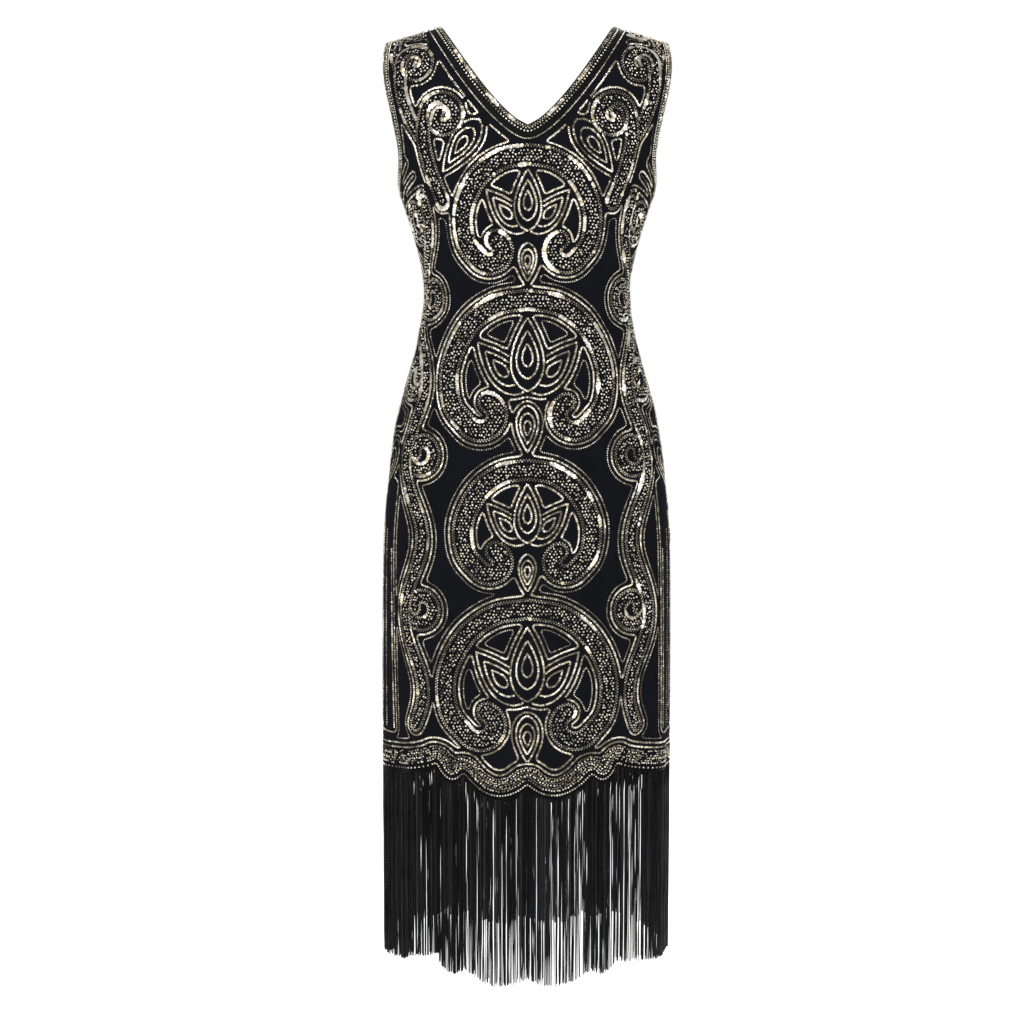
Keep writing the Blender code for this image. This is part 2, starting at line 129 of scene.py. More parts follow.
# Soft creases of the cloth alone, millimetres on the cut cloth. A negative depth is a ridge.
Crease = namedtuple("Crease", "start end width depth")
CREASES = {
    False: (
        Crease((-182, -262), (-96, -290), 11, 1.5), Crease((184, -276), (112, -300), 9, 1.3),
        Crease((-176, -306), (-84, -322), 10, 1.6), Crease((176, -322), (70, -334), 11, 1.5),
        Crease((-186, -348), (-118, -352), 9, -1.0), Crease((190, -362), (128, -372), 10, -1.1),
        Crease((-172, -150), (-104, -196), 13, 1.8), Crease((172, -146), (110, -190), 12, 1.5),
        Crease((-204, -428), (-128, -470), 14, 1.4), Crease((206, -440), (146, -486), 15, 1.6),
        Crease((-34, -300), (46, -306), 9, 1.0), Crease((-150, -520), (-128, -640), 13, -1.2),
        Crease((96, -560), (108, -700), 14, 1.3), Crease((-58, -610), (-66, -742), 13, 1.1),
    ),
    True: (
        Crease((-172, -268), (-70, -290), 11, 1.6), Crease((176, -262), (88, -284), 10, 1.4),
        Crease((-168, -312), (-40, -322), 12, 1.9), Crease((170, -304), (34, -316), 12, 1.7),
        Crease((-178, -350), (-100, -360), 10, -1.1), Crease((180, -344), (92, -352), 10, -1.2),
        Crease((-170, -140), (-112, -200), 13, 1.6), Crease((168, -150), (118, -212), 12, 1.5),
        Crease((-60, -540), (-78, -690), 15, 1.4), Crease((86, -566), (72, -720), 14, 1.5),
    ),
}
CREASE_TAPER = 0.7  # less keeps a crease deep for more of its length

# The girth table has this many turns round a quarter of the figure, and these heights.
TABLE_TURNS = 91
TABLE_BOTTOM, TABLE_TOP, TABLE_STEP = -0.900, 0.020, 0.001
SETTLING = 4  # rounds in which a height settles with the turn that hangs on it


def figure_at(z):
    """Half width, front depth and back depth of the figure at each height."""
    table = np.array(SECTIONS)[::-1]
    last = len(table) - 1
    i = np.clip(np.searchsorted(table[:, 0], z) - 1, 0, last - 1)
    low, high = table[i], table[i + 1]
    under, over = table[np.maximum(i - 1, 0)], table[np.minimum(i + 2, last)]
    span = (high - low)[..., :1]
    t = np.clip((z[..., None] - low[..., :1]) / span, 0, 1)
    leave = (high - under) / (high - under)[..., :1] * span
    arrive = (over - low) / (over - low)[..., :1] * span
    sizes = ((2 * t**3 - 3 * t**2 + 1) * low + (t**3 - 2 * t**2 + t) * leave
             + (3 * t**2 - 2 * t**3) * high + (t**3 - t**2) * arrive)
    return sizes[..., 1], sizes[..., 2], sizes[..., 3]


def plan(z, turn):
    """(x, y) of the figure at a turn from centre front, before the shoulders' roll."""
    half_width, front, back = figure_at(z)
    ahead, aside = np.cos(turn), np.sin(turn)
    reach = (np.abs(ahead)**SQUARENESS + np.abs(aside)**SQUARENESS)**(-1 / SQUARENESS)
    return half_width * reach * aside, -np.where(ahead >= 0, front, back) * reach * ahead


def turn_at_x(x, z):
    share = np.clip(x / figure_at(z)[0], 0, 0.999)
    return np.arctan(share / (1 - share**SQUARENESS)**(1 / SQUARENESS))


@functools.lru_cache(maxsize=None)
def girth_table(behind):
    """Turns, heights, and the arc lengths at them from the centre to the side."""
    turns = np.linspace(0, math.pi / 2, TABLE_TURNS)
    z = np.arange(TABLE_BOTTOM, TABLE_TOP, TABLE_STEP)
    x, y = plan(z[:, None] + 0 * turns, (math.pi - turns if behind else turns) + 0 * z[:, None])
    steps = np.hypot(np.diff(x), np.diff(y))
    return turns, z, np.concatenate([0 * z[:, None], np.cumsum(steps, axis=1)], axis=1)


def girth(z, behind):
    """Arc lengths at equal turns from the centre to the side, a row for each height."""
    turns, heights, arcs = girth_table(behind)
    place = np.clip((z - heights[0]) / (heights[1] - heights[0]), 0, len(heights) - 1.001)
    i = place.astype(int)
    share = (place - i)[:, None]
    return turns, arcs[i] * (1 - share) + arcs[i + 1] * share


def arc_at(turn, z, behind):
    turns, arcs = girth(z, behind)
    place = np.clip(turn / turns[1], 0, len(turns) - 1.001)
    i, rows = place.astype(int), np.arange(len(z))
    return arcs[rows, i] + (place - i) * (arcs[rows, i + 1] - arcs[rows, i])


def turn_at(arc, z, behind):
    turns, arcs = girth(z, behind)
    i, rows = (arcs[:, 1:-1] < arc[:, None]).sum(axis=1), np.arange(len(z))
    low, high = arcs[rows, i], arcs[rows, i + 1]
    return turns[i] + (arc - low) / (high - low) * turns[1]


def armhole_turn(z):
    height = (z - UNDERARM_Z) / (SHOULDER_TIP_Z - UNDERARM_Z)
    rise = np.clip(height / ARMHOLE_ROUND, 0, 1)
    return math.pi / 2 - ARMHOLE_ANGLE * np.sqrt(1 - (1 - rise)**2)


SHOULDER_TIP = np.array([SHOULDER_TIP_Z])
SHOULDER_TIP_X = float(plan(SHOULDER_TIP, armhole_turn(SHOULDER_TIP))[0][0])
SHOULDER_SLOPE = (NECK_POINT_Z - SHOULDER_TIP_Z) / (SHOULDER_TIP_X - NECK_POINT_X)


def shoulder_height(x):
    return NECK_POINT_Z - SHOULDER_SLOPE * (np.abs(x) - NECK_POINT_X)


def rolled_out(x, z):
    """Height on the cut cloth of a point that is at height z on the dress."""
    start = shoulder_height(x) - SHOULDER_ROLL
    lift = np.clip((z - start) / SHOULDER_ROLL, 0, 1)
    return np.where(z > start, start + ROLL_REACH * np.arcsin(lift), z)


def rolled_over(x, v):
    """Height on the dress of a point at v on the cut cloth."""
    start = shoulder_height(x) - SHOULDER_ROLL
    angle = np.clip((v - start) / ROLL_REACH, 0, math.pi / 2)
    return np.where(v > start, start + SHOULDER_ROLL * np.sin(angle), v)


def fold_depth(turn, z):
    """How far the skirt's folds sink, at turns from centre front."""
    depth = np.zeros_like(z)
    for fold in FOLDS:
        away = (np.degrees(turn) - fold.turn + 180) % 360 - 180
        fall = np.clip((fold.top - z) / (fold.top - HEM_LEVEL), 0, 1)
        depth += fold.depth * np.exp(-(away / fold.spread)**2) * fall**FOLD_GROWTH
    return depth


def crease_depth(u, v, behind):
    """How far the creases sink, at places on the cut cloth."""
    spots = np.stack((u, v), axis=-1)
    depth = np.zeros_like(u)
    for crease in CREASES[behind]:
        start, end = np.array(crease.start) * MM, np.array(crease.end) * MM
        run = end - start
        along = np.clip((spots - start) @ run / (run @ run), 0, 1)
        away = np.linalg.norm(spots - start - along[:, None] * run, axis=1)
        profile = np.exp(-(away / (crease.width * MM))**2)
        depth += crease.depth * MM * profile * np.sin(math.pi * along)**CREASE_TAPER
    return depth


def surface(turn, z, hand, behind):
    """Points of the cloth's outer face. turn runs from the centre front or back, and hand is 1
    towards the wearer's left and -1 towards the right."""
    signed = hand * (math.pi - turn if behind else turn)
    x, y = plan(z, signed)
    v = rolled_out(x, z)
    roll = np.clip((shoulder_height(x) - z) / SHOULDER_ROLL, 0, 1)
    y = y * np.sqrt(1 - (1 - roll)**2)
    cup = CUP_DEPTH * np.exp(-((np.abs(x) - CUP_X) / CUP_WIDTH)**2 - ((z - CUP_Z) / CUP_HEIGHT)**2)
    y = y - np.where(y < 0, cup * np.clip(-y / CUP_DEPTH, 0, 1), 0)
    depth = fold_depth(signed, z) + crease_depth(hand * arc_at(turn, z, behind), v, behind)
    keep = 1 - depth / np.maximum(np.hypot(x, y), MM)
    return np.stack((x * keep, y * keep, z), axis=-1)


def spot_of(u, v, behind):
    """(turn, z) on the dress of places on the cut cloth."""
    z = v.copy()
    for _ in range(SETTLING):
        turn = turn_at(np.abs(u), z, behind)
        z = rolled_over(plan(z, turn)[0], v)
    return turn, z


def cloth_point(u, v, behind):
    turn, z = spot_of(u, v, behind)
    return surface(turn, z, np.where(u < 0, -1, 1), behind)


def lengths(vectors):
    """The length of each vector, never quite 0, to divide by."""
    return np.maximum(np.linalg.norm(vectors, axis=1, keepdims=True), 1e-9)


def cloth_frame(u, v, behind, reach=0.0005):
    """Points of the cloth, its unit directions along u and v, and its outward normals."""
    ahead = cloth_point(u + reach, v, behind) - cloth_point(u - reach, v, behind)
    upward = cloth_point(u, v + reach, behind) - cloth_point(u, v - reach, behind)
    ahead /= lengths(ahead)
    upward /= lengths(upward)
    normal = np.cross(upward, ahead) if behind else np.cross(ahead, upward)
    normal /= lengths(normal)
    return cloth_point(u, v, behind), ahead, upward, normal


# ---------------------------------------------------------------- the cut's edges

NECK_CROWD = 1.2  # more crowds the places towards the V's tip


def neck_edge(behind, count=60):
    """The right half of the V, from its tip to the shoulder seam."""
    share = np.linspace(0, 1, count)**NECK_CROWD
    tip = V_TIP[behind]
    x, z = NECK_POINT_X * share, tip + (NECK_POINT_Z - tip) * share**NECK_CURVE
    return np.stack((arc_at(turn_at_x(x, z), z, behind), rolled_out(x, z)), axis=-1)


def armhole_edge(behind, count=60):
    """From the underarm to the shoulder seam."""
    share = np.linspace(0, 1, count)
    height = np.where(share < 0.5, 0.5 * (1 - np.cos(math.pi * share)), share)
    z = UNDERARM_Z + (SHOULDER_TIP_Z - UNDERARM_Z) * height
    turn = armhole_turn(z)
    return np.stack((arc_at(turn, z, behind), rolled_out(plan(z, turn)[0], z)), axis=-1)


def side_arc(v, behind):
    return girth(v, behind)[1][:, -1]


def hem_height(arc):
    """Heights of the scalloped edge at arc lengths from the centre."""
    height = np.zeros_like(arc)
    for piece in SCALLOPS:
        t = np.clip((arc - piece.start) / (piece.end - piece.start), 0, 1)
        curve = (piece.start_z + (piece.end_z - piece.start_z) * t
                 - piece.sag * np.sin(math.pi * t)**piece.bluntness)
        height = np.where((arc >= piece.start) & (arc <= piece.end), curve, height)
    return height


def hem_edge(behind, count=150):
    """From the centre to the side seam."""
    arc = np.linspace(0, side_arc(np.array([HEM_LEVEL]), behind)[0], count)
    return np.stack((arc, hem_height(arc)), axis=-1)


def side_edge(behind, count=60):
    """From the hem up to the underarm."""
    bottom = hem_edge(behind)[-1]
    v = np.linspace(bottom[1], UNDERARM_Z, count)
    return np.stack((side_arc(v, behind), v), axis=-1)


def whole(half):
    """A line from the centre outwards, with its mirror image before it."""
    return np.concatenate([mirrored(half)[::-1], half])


def mirrored(spots):
    return spots * (-1, 1)


def panel_outline(behind):
    """The closed outline of the whole front or back."""
    half = np.concatenate([neck_edge(behind), armhole_edge(behind)[::-1],
                           side_edge(behind)[::-1], hem_edge(behind)[::-1]])
    return np.concatenate([half, mirrored(half)[::-1]])


# ---------------------------------------------------------------- lines on the cloth

LEAF_BELLY, LEAF_BLUNT = 0.72, 0.85  # under 1: widest near the base, and rounder ends
SHORTEST_LINE = 6  # places, at or under which a level line is left out
SAME_PLACE = 1e-6


def spaced(line, pitch):
    """Places at equal steps along a line, with the line's heading and run there."""
    steps = np.linalg.norm(np.diff(line, axis=0), axis=1)
    run = np.concatenate([[0], np.cumsum(steps)])
    count = max(int(run[-1] / pitch), 1)
    at = (np.arange(count) + 0.5) * run[-1] / count
    spots = np.stack([np.interp(at, run, line[:, k]) for k in (0, 1)], axis=-1)
    i = np.clip(np.searchsorted(run, at) - 1, 0, len(line) - 2)
    step = line[i + 1] - line[i]
    return spots, np.arctan2(step[:, 1], step[:, 0]), at


def leftwards(step):
    """The steps turned a quarter to their left."""
    return np.stack((-step[:, 1], step[:, 0]), axis=-1)


def offset(line, distance):
    """The line moved sideways, to its left where distance is positive."""
    left = leftwards(np.gradient(line, axis=0))
    return line + distance * left / lengths(left)


def curve(points, steps=10):
    """A smooth line through points given in millimetres, a Catmull-Rom curve."""
    known = np.array(points, float) * MM
    ends = np.concatenate([[2 * known[0] - known[1]], known, [2 * known[-1] - known[-2]]])
    line = []
    for a, b, c, d in zip(ends, ends[1:], ends[2:], ends[3:]):
        for t in np.linspace(0, 1, steps, endpoint=False):
            line.append(0.5 * (2 * b + (c - a) * t + (2 * a - 5 * b + 4 * c - d) * t**2
                               + (3 * b - a - 3 * c + d) * t**3))
    return np.array([*line, known[-1]])


def hooked(line, hand, radius, turn, tighten=0.35, steps=18):
    """The line carried on into a curl that tightens, to the left where hand is 1."""
    spots = list(line)
    heading = math.atan2(*(line[-1] - line[-2])[::-1])
    swing = math.radians(turn) / steps
    for i in range(steps):
        reach = radius * MM * (1 - tighten * i / steps) * swing
        heading += hand * swing
        spots.append(spots[-1] + reach * np.array([math.cos(heading), math.sin(heading)]))
    return np.array(spots)


def band_outline(line, width, end_width):
    """The closed outline of a band round its middle line, with round ends."""
    share = np.linspace(0, 1, len(line))[:, None]
    half = (width + (end_width - width) * share**2) / 2 * MM
    step = np.gradient(line, axis=0)
    step /= lengths(step)
    left = leftwards(step)
    swing = np.linspace(0, math.pi, 9)[1:-1, None]
    end = line[-1] + half[-1] * (np.cos(swing) * left[-1] + np.sin(swing) * step[-1])
    start = line[0] - half[0] * (np.cos(swing) * left[0] + np.sin(swing) * step[0])
    return np.concatenate([line + half * left, end, (line - half * left)[::-1], start])


def closed(outline):
    return np.concatenate([outline, outline[:1]])


def leaf(base, tip, half_width, steps=18):
    """A closed leaf, round near its base and pointed at its tip, in millimetres."""
    base, tip = np.array(base, float) * MM, np.array(tip, float) * MM
    axis = tip - base
    side = np.array([-axis[1], axis[0]]) / np.linalg.norm(axis)
    share = np.linspace(0, 1, steps)[:, None]
    width = half_width * MM * np.sin(math.pi * share**LEAF_BELLY)**LEAF_BLUNT
    middle = base + share * axis
    return np.concatenate([middle + width * side, (middle - width * side)[::-1][1:]])


def shrunk(outline, scale):
    centre = outline[:-1].mean(axis=0)
    return centre + (outline - centre) * scale


def inside(spots, outline):
    """Whether each place is inside a closed outline."""
    a, b = outline, np.roll(outline, -1, axis=0)
    x, y = spots[:, :1], spots[:, 1:]
    crosses = (a[:, 1] > y) != (b[:, 1] > y)
    rise = np.where(a[:, 1] == b[:, 1], 1, b[:, 1] - a[:, 1])
    at = a[:, 0] + (y - a[:, 1]) / rise * (b[:, 0] - a[:, 0])
    return (crosses & (x < at)).sum(axis=1) % 2 == 1


def distance(spots, line):
    """The distance of each place to the nearest part of a line."""
    a, run = line[:-1], np.diff(line, axis=0)
    away = spots[:, None] - a
    t = np.clip((away * run).sum(-1) / np.maximum((run * run).sum(-1), 1e-12), 0, 1)
    return np.linalg.norm(away - t[..., None] * run, axis=-1).min(axis=1)


def distance_to(points):
    """A function of places that gives their distance to the nearest of many points."""
    tree = KDTree(len(points))
    for i, (u, v) in enumerate(points):
        tree.insert((u, v, 0), i)
    tree.balance()
    return lambda spots: np.array([tree.find((u, v, 0))[2] for u, v in spots])


def level_lines(height, grid, levels):
    """Lines on which height, a function of places, has each of the rising levels. The grid is
    its low corner, its high corner and its step, and all are in millimetres."""
    low, high, step = np.array(grid[0]) * MM, np.array(grid[1]) * MM, grid[2]
    columns, rows = (int(count) for count in (high - low) / (step * MM))
    block = bmesh.new()
    bmesh.ops.create_grid(block, x_segments=columns, y_segments=rows, size=0.5)
    verts = block.verts[:]
    spots = low + (np.array([vert.co.xy for vert in verts]) + 0.5) * (high - low)
    for vert, (u, v), rise in zip(verts, spots, height(spots)):
        vert.co = (u, v, rise)
    lines = []
    for level in levels:
        shape = block.verts[:] + block.edges[:] + block.faces[:]
        done = bmesh.ops.bisect_plane(block, geom=shape, dist=1e-7, plane_co=(0, 0, level * MM),
                                      plane_no=(0, 0, 1), clear_inner=True)
        edges = [part for part in done["geom_cut"] if isinstance(part, bmesh.types.BMEdge)]
        lines.append([smoothed(line) for line in chains(edges) if len(line) > SHORTEST_LINE])
    block.free()
    return lines


def chains(edges):
    """Edges that meet end to end, as lines of places."""
    near = {}
    for edge in edges:
        for here, there in (edge.verts, reversed(edge.verts)):
            near.setdefault(here, []).append(there)
    lines = []
    for start in [vert for vert in near if len(near[vert]) == 1] + list(near):
        line = [start]
        while near[line[-1]]:
            after = near[line[-1]].pop()
            near[after].remove(line[-1])
            line.append(after)
        if len(line) > 1:
            lines.append(np.array([vert.co.xy for vert in line]))
    return lines


def smoothed(line, passes=6):
    """The line with its corners rounded. The ends of an open line stay."""
    loop = np.linalg.norm(line[0] - line[-1]) < SAME_PLACE
    for _ in range(passes):
        before, after = np.roll(line, 1, axis=0), np.roll(line, -1, axis=0)
        if loop:
            before[0], after[-1] = line[-2], line[1]
        else:
            before[0], after[-1] = line[0], line[-1]
        line = 0.25 * before + 0.5 * line + 0.25 * after
    return line


# ---------------------------------------------------------------- what is sewn on

# Sizes in millimetres. lean is how far, in radians, an item may tip from flat at random, and
# tone is added to the tone that it draws.
Item = namedtuple("Item", "shape length width height lift lean shine tone")
ITEMS = {
    "seed": Item("bead", 2.25, 2.25, 1.7, 0.68, 0.30, 0, 0.16),  # round glass seed bead
    "tiny": Item("disc", 1.8, 1.8, 1.4, 0.55, 0.25, 0, -0.08),  # short cut bead
    "spangle": Item("disc", 4.7, 4.7, 0.6, 0.75, 0.12, 1, 0.0),  # flat sequin, sewn overlapping
    "broad": Item("disc", 6.0, 6.0, 0.6, 0.80, 0.10, 1, 0.1),  # large sequin
    "paillette": Item("disc", 2.6, 2.6, 0.45, 0.60, 0.13, 1, 0.0),  # small sequin of thin lines
}
SHINGLE = 0.13  # radians that each sequin of a row leans on the next
TILT_DRIFT = 0.20  # radians that a row rolls to one side, slowly along it
DRIFT_REACH = 0.016  # the length over which a row's tilt, tone and brightness change
SIZE_SPREAD = 0.04
# A row's tone rises and falls with the slow drift that also tilts it and picks its bright
# stretches: painted highlight and shade along the row. The last number is each item's own random
# tone.
TONE, PAINTED_LIGHT_AND_TONE_DRIFT, TONE_SPREAD = 0.50, 0.26, 0.17
TONE_TOP, TONE_REACH, TONE_FALL = -0.30, 0.50, 0.14  # the beads' tone is drawn darker down the skirt
WARMTH, WARMTH_SPREAD = 0.42, 0.26
# A bold row is sequins on its bright stretches, broad ones where it is brightest, and two
# staggered lines of beads on the rest, as (item, pitch, stagger, from and to this brightness).
DIMMEST, BRIGHTEST = -9, 9  # beyond what any stretch draws
BOLD = (("tiny", 1.65, 0.95, DIMMEST, 0), ("spangle", 3.1, 0, 0, 0.75),
        ("broad", 3.3, 0, 0.75, BRIGHTEST))
# There are fewer bright stretches down the skirt, as (height, least drift).
BRIGHT_FROM = ((-0.85, 1.20), (-0.64, 0.95), (-0.50, 0.55), (-0.20, 0.12), (-0.12, 0.15),
               (-0.05, -0.35))
GAP = 2.4  # millimetres between an item's middle and taken ground
# Items that fill a shape stand in staggered rows: the rows' spacing and the items' stray, as
# shares of the pitch, and the spread of their drift.
FILL_ROWS, FILL_STRAY, FILL_DRIFT = 0.87, 0.15, 0.8

Sewn = namedtuple("Sewn", "kind spots heading drift")


class Work:
    """The hand sewing on one side of the dress, with the ground that is already taken."""

    def __init__(self, behind, seed):
        self.behind = behind
        self.random = np.random.default_rng(seed)
        self.outline = panel_outline(behind)
        self.taken = []
        self.sewn = {}

    def claim(self, outline):
        self.taken.append((outline, outline.min(axis=0), outline.max(axis=0)))

    def free(self, spots, gap):
        good = inside(spots, self.outline)
        for outline, low, high in self.taken:
            near = good & (spots > low - gap).all(axis=1) & (spots < high + gap).all(axis=1)
            if near.any():
                hit = inside(spots[near], outline) | (distance(spots[near], closed(outline)) < gap)
                good[np.flatnonzero(near)[hit]] = False
        return good

    def sew(self, piece, kind, spots, heading, drift):
        self.sewn.setdefault(piece, []).append(Sewn(kind, spots, heading, drift))

    def row(self, piece, kind, line, pitch=None, gap=GAP, stray=0.0, dull=0.0, thin=0.0):
        """A row of items along a line, kept off taken ground. The kind is an item, or "bold",
        which has pitches of its own. dull makes a bold row's bright stretches fewer. thin is the
        share of the items that are left out towards the sides, every other one in a row without
        stray."""
        reach = np.linalg.norm(np.diff(line, axis=0), axis=1).sum()
        knots = np.arange(-1, reach / DRIFT_REACH + 2) * DRIFT_REACH
        swell = self.random.normal(0, 1, len(knots))
        parts = BOLD if kind == "bold" else ((kind, pitch, 0, DIMMEST, BRIGHTEST),)
        for item, step, stagger, dimmest, brightest in parts:
            spots, heading, at = spaced(line, step * MM)
            drift = np.interp(at, knots, swell)
            shine = drift - dull - np.interp(spots[:, 1], *zip(*BRIGHT_FROM))
            aside = np.stack((-np.sin(heading), np.cos(heading)), axis=-1)
            zigzag = np.where(np.arange(len(spots)) % 2, 1, -1)[:, None]
            spots = spots + stagger * MM * zigzag * aside
            spots = spots + self.random.normal(0, 1, spots.shape) * stray * MM
            good = self.free(spots, gap * MM) & (shine >= dimmest) & (shine < brightest)
            if thin:
                kept = self.random.random(len(spots)) > thin if stray else zigzag[:, 0] > 0
                good &= kept | (np.abs(spots[:, 0]) < HEM_THIN_FROM)
            self.sew(piece, item, spots[good], heading[good], drift[good])

    def fill(self, piece, kinds, outline, pitch, edge):
        """Scattered items inside a closed outline, the given distance off its edge."""
        low, high = outline.min(axis=0), outline.max(axis=0)
        step = pitch * MM
        columns = np.arange(low[0], high[0] + step, step)
        rows = np.arange(low[1], high[1] + step, step * FILL_ROWS)
        x, y = np.meshgrid(columns, rows)
        x = x + step / 2 * (np.arange(len(rows)) % 2)[:, None]
        spots = np.stack((x.ravel(), y.ravel()), axis=-1)
        spots = spots + self.random.normal(0, FILL_STRAY * step, spots.shape)
        spots = spots[inside(spots, outline)]
        if not len(spots):
            return
        spots = spots[distance(spots, closed(outline)) > edge * MM]
        spots = spots[self.free(spots, GAP * MM)]
        choice = self.random.integers(0, len(kinds), len(spots))
        heading = self.random.uniform(0, math.pi, len(spots))
        drift = self.random.normal(0, FILL_DRIFT, len(spots))
        for i, kind in enumerate(kinds):
            mine = choice == i
            self.sew(piece, kind, spots[mine], heading[mine], drift[mine])


# ---- the bands along the edges, rows as (distance from the edge, item, pitch), millimetres
NECK_ROWS = ((3.4, "bold", None), (7.8, "seed", 4.0), (16.2, "tiny", 2.2))
NECK_GUARD = 0.003  # width kept bare beyond the neck's band
NECK_DULL = 0.45
ARMHOLE_ROWS = ((1.4, "tiny", 2.3), (4.2, "paillette", 2.5), (7.4, "seed", 3.3),
                (10.6, "tiny", 2.3))
HEM_ROWS = ((1.8, "seed", 3.2), (7.2, "seed", 3.4), (10.0, "tiny", 2.5), (12.8, "seed", 3.5),
            (15.6, "tiny", 2.5), (18.4, "seed", 3.6), (21.2, "tiny", 2.6), (26.0, "paillette", 2.5))
HEM_GRID = ((-245, -900), (245, -800), 2)  # where the hem's rows are looked for
HEM_STRAY = 0.42
HEM_THIN, HEM_THIN_FROM = 0.30, 0.112  # share of the beads left out beyond the small scallops


def edge_strip(line, width):
    """The closed strip between an edge and a line that far to its right."""
    return np.concatenate([line, offset(line, -width)[::-1]])


def trim_edges(work, side):
    sizes = bpy.context.scene.dress_sizes
    neck, hem = whole(neck_edge(work.behind)), whole(hem_edge(work.behind))
    for away, kind, pitch in NECK_ROWS:
        work.row(f"{side}_neck_beading", kind, offset(neck, -away * MM), pitch, dull=NECK_DULL)
    work.claim(edge_strip(neck, sizes.neck_band + NECK_GUARD))
    for hand, name in ((1, "left"), (-1, "right")):
        armhole = armhole_edge(work.behind) * (hand, 1)
        for away, kind, pitch in ARMHOLE_ROWS:
            work.row(f"{name}_armhole_beading", kind, offset(armhole, hand * away * MM), pitch)
        work.claim(edge_strip(armhole, -hand * sizes.armhole_band))
    off_hem = distance_to(spaced(hem, MM)[0])
    levels = level_lines(off_hem, HEM_GRID, [away for away, _, _ in HEM_ROWS])
    for (away, kind, pitch), lines in zip(HEM_ROWS, levels):
        first, last = away == HEM_ROWS[0][0], away == HEM_ROWS[-1][0]
        for line in lines:
            work.row(f"{side}_hem_beading", kind, line, pitch, thin=0 if last else HEM_THIN,
                     stray=0 if first or last else HEM_STRAY)
    top = max(levels[-1], key=lambda line: np.median(line[:, 1]))
    work.claim(np.concatenate([hem, top[np.argsort(-top[:, 0], kind="stable")]]))


# ---- the field: a column of palmettes in horseshoe bands, with a scrolling stem on each hand
Unit = namedtuple("Unit", "pivot size")
UNITS = {
    False: (Unit(-236, 0.84), Unit(-418, 1.04), Unit(-589, 0.84), Unit(-775, 1.08)),
    True: (Unit(-252, 0.76), Unit(-424, 0.98), Unit(-589, 0.84), Unit(-775, 1.08)),
}
Petal = namedtuple("Petal", "lean length half_width")
PETALS = (Petal(0, 80, 18), Petal(42, 74, 17))
PETAL_ROOT = 8
CONTOURS = (1.0, 0.66, 0.32)  # sizes of the outlines of a leaf, one inside the other
CONTOUR_PITCH = 2.3
HORSESHOE = ((0, 108), (36, 101), (68, 76), (88, 34), (85, -6), (66, -30))
HORSESHOE_CURL = (-1, 21, 205)  # hand, radius, turn
BAND_WIDTH, BAND_END = 22, 19
FILL_EDGE = 3.7  # how far inside a band's outline its filling starts
BUD = (-7, -58, 12)  # base and tip from the pivot, half width

STEM_MIDDLE, STEM_SWAY, STEM_PITCH, STEM_PHASE = 139, 14, 179, -223
STEM_TOP, STEM_BOTTOM = -196, -800
STEM_WIDTH = 15
STEM_BAYS, STEM_PLACES = 4, 160
# Curls that leave the stem: height from the stem's phase, the hand and size of the curl, and
# the height below which there are none.
Curl = namedtuple("Curl", "start hand radius turn width lowest")
STEM_CURLS = (Curl(34, 1, 25, 400, 14, -400), Curl(-52, -1, 24, 395, 14, STEM_BOTTOM))
CURL_LEAD, CURL_LEAD_PLACES = 20, 6  # how far a curl follows the stem before it leaves
CURL_TIGHTEN, SCROLL_TIGHTEN = 0.64, 0.6
CURL_STEPS = 40
Scroll = namedtuple("Scroll", "points hand radius turn width")
CHEST_SCROLLS = (
    Scroll(((100, -196), (116, -160), (124, -124), (118, -96)), 1, 21, 400, 17),
    Scroll(((122, -130), (140, -104), (151, -72), (150, -40)), 1, 19, 400, 16),
    Scroll(((149, -58), (158, -24), (156, 6), (144, 24)), 1, 15, 300, 14),
)
Leaf = namedtuple("Leaf", "base tip half_width")
SIDE_LEAVES = (Leaf((54, -106), (98, -164), 15), Leaf((172, -470), (214, -526), 15))
# Open ground that stays bare, as (place, radius).
BARE = (((128, -176), 14), ((112, -298), 14), ((176, -424), 13),
        ((110, -470), 15), ((112, -648), 15), ((60, -690), 12), ((190, -596), 14))
ECHOES = ((5.4, "paillette", 2.3), (10.6, "tiny", 2.6), (15.8, "paillette", 2.3))
ECHO_GAP = 2.0
ECHO_GRID = ((-242, -880), (242, 56), 2.5)  # where open ground is looked for
ECHO_LEAST = 14  # places that the shortest loop has
# Below this height, and between the sides, only the nearest row is sewn round each shape.
OPEN_BELOW, OPEN_SIDE = -0.125, 0.168


def sew_band(work, side, outline):
    pitch = bpy.context.scene.dress_sizes.bead_pitch / MM
    work.row(f"{side}_spangles", "bold", closed(outline))
    work.fill(f"{side}_seed_beads", ("seed", "seed", "tiny"), outline, pitch, FILL_EDGE)


def sew_leaf(work, side, outline):
    for scale in CONTOURS:
        contour = shrunk(closed(outline), scale)
        work.row(f"{side}_spangles", "paillette", contour, CONTOUR_PITCH)


def both_hands(work, side, sew, outline):
    """Sews a shape and its mirror image, then takes the ground of both."""
    for shape in (outline, mirrored(outline)):
        sew(work, side, shape)
    for shape in (outline, mirrored(outline)):
        work.claim(shape)


def sew_bands(work, side, line, width):
    """An even band round a line, and its mirror image."""
    both_hands(work, side, sew_band, band_outline(line, width, width))


def sew_unit(work, side, unit):
    """A palmette in its horseshoe band, with a bud below it."""
    hand, radius, turn = HORSESHOE_CURL
    line = curve([(u * unit.size, unit.pivot + v * unit.size) for u, v in HORSESHOE])
    right = hooked(line, hand, radius * unit.size, turn)
    band = band_outline(np.concatenate([mirrored(right)[:0:-1], right]), BAND_WIDTH, BAND_END)
    sew_band(work, side, band)
    work.claim(band)
    for petal in PETALS:
        lean = math.radians(petal.lean)
        aim = unit.size * np.array([math.sin(lean), math.cos(lean)])
        root = np.array([0, unit.pivot])
        outline = leaf(root + PETAL_ROOT * aim, root + (PETAL_ROOT + petal.length) * aim,
                       petal.half_width * unit.size)
        sew_shape(work, side, outline, petal.lean)
    base, tip, half_width = BUD
    base, tip = ((0, unit.pivot + end * unit.size) for end in (base, tip))
    sew_shape(work, side, leaf(base, tip, half_width * unit.size), 0)


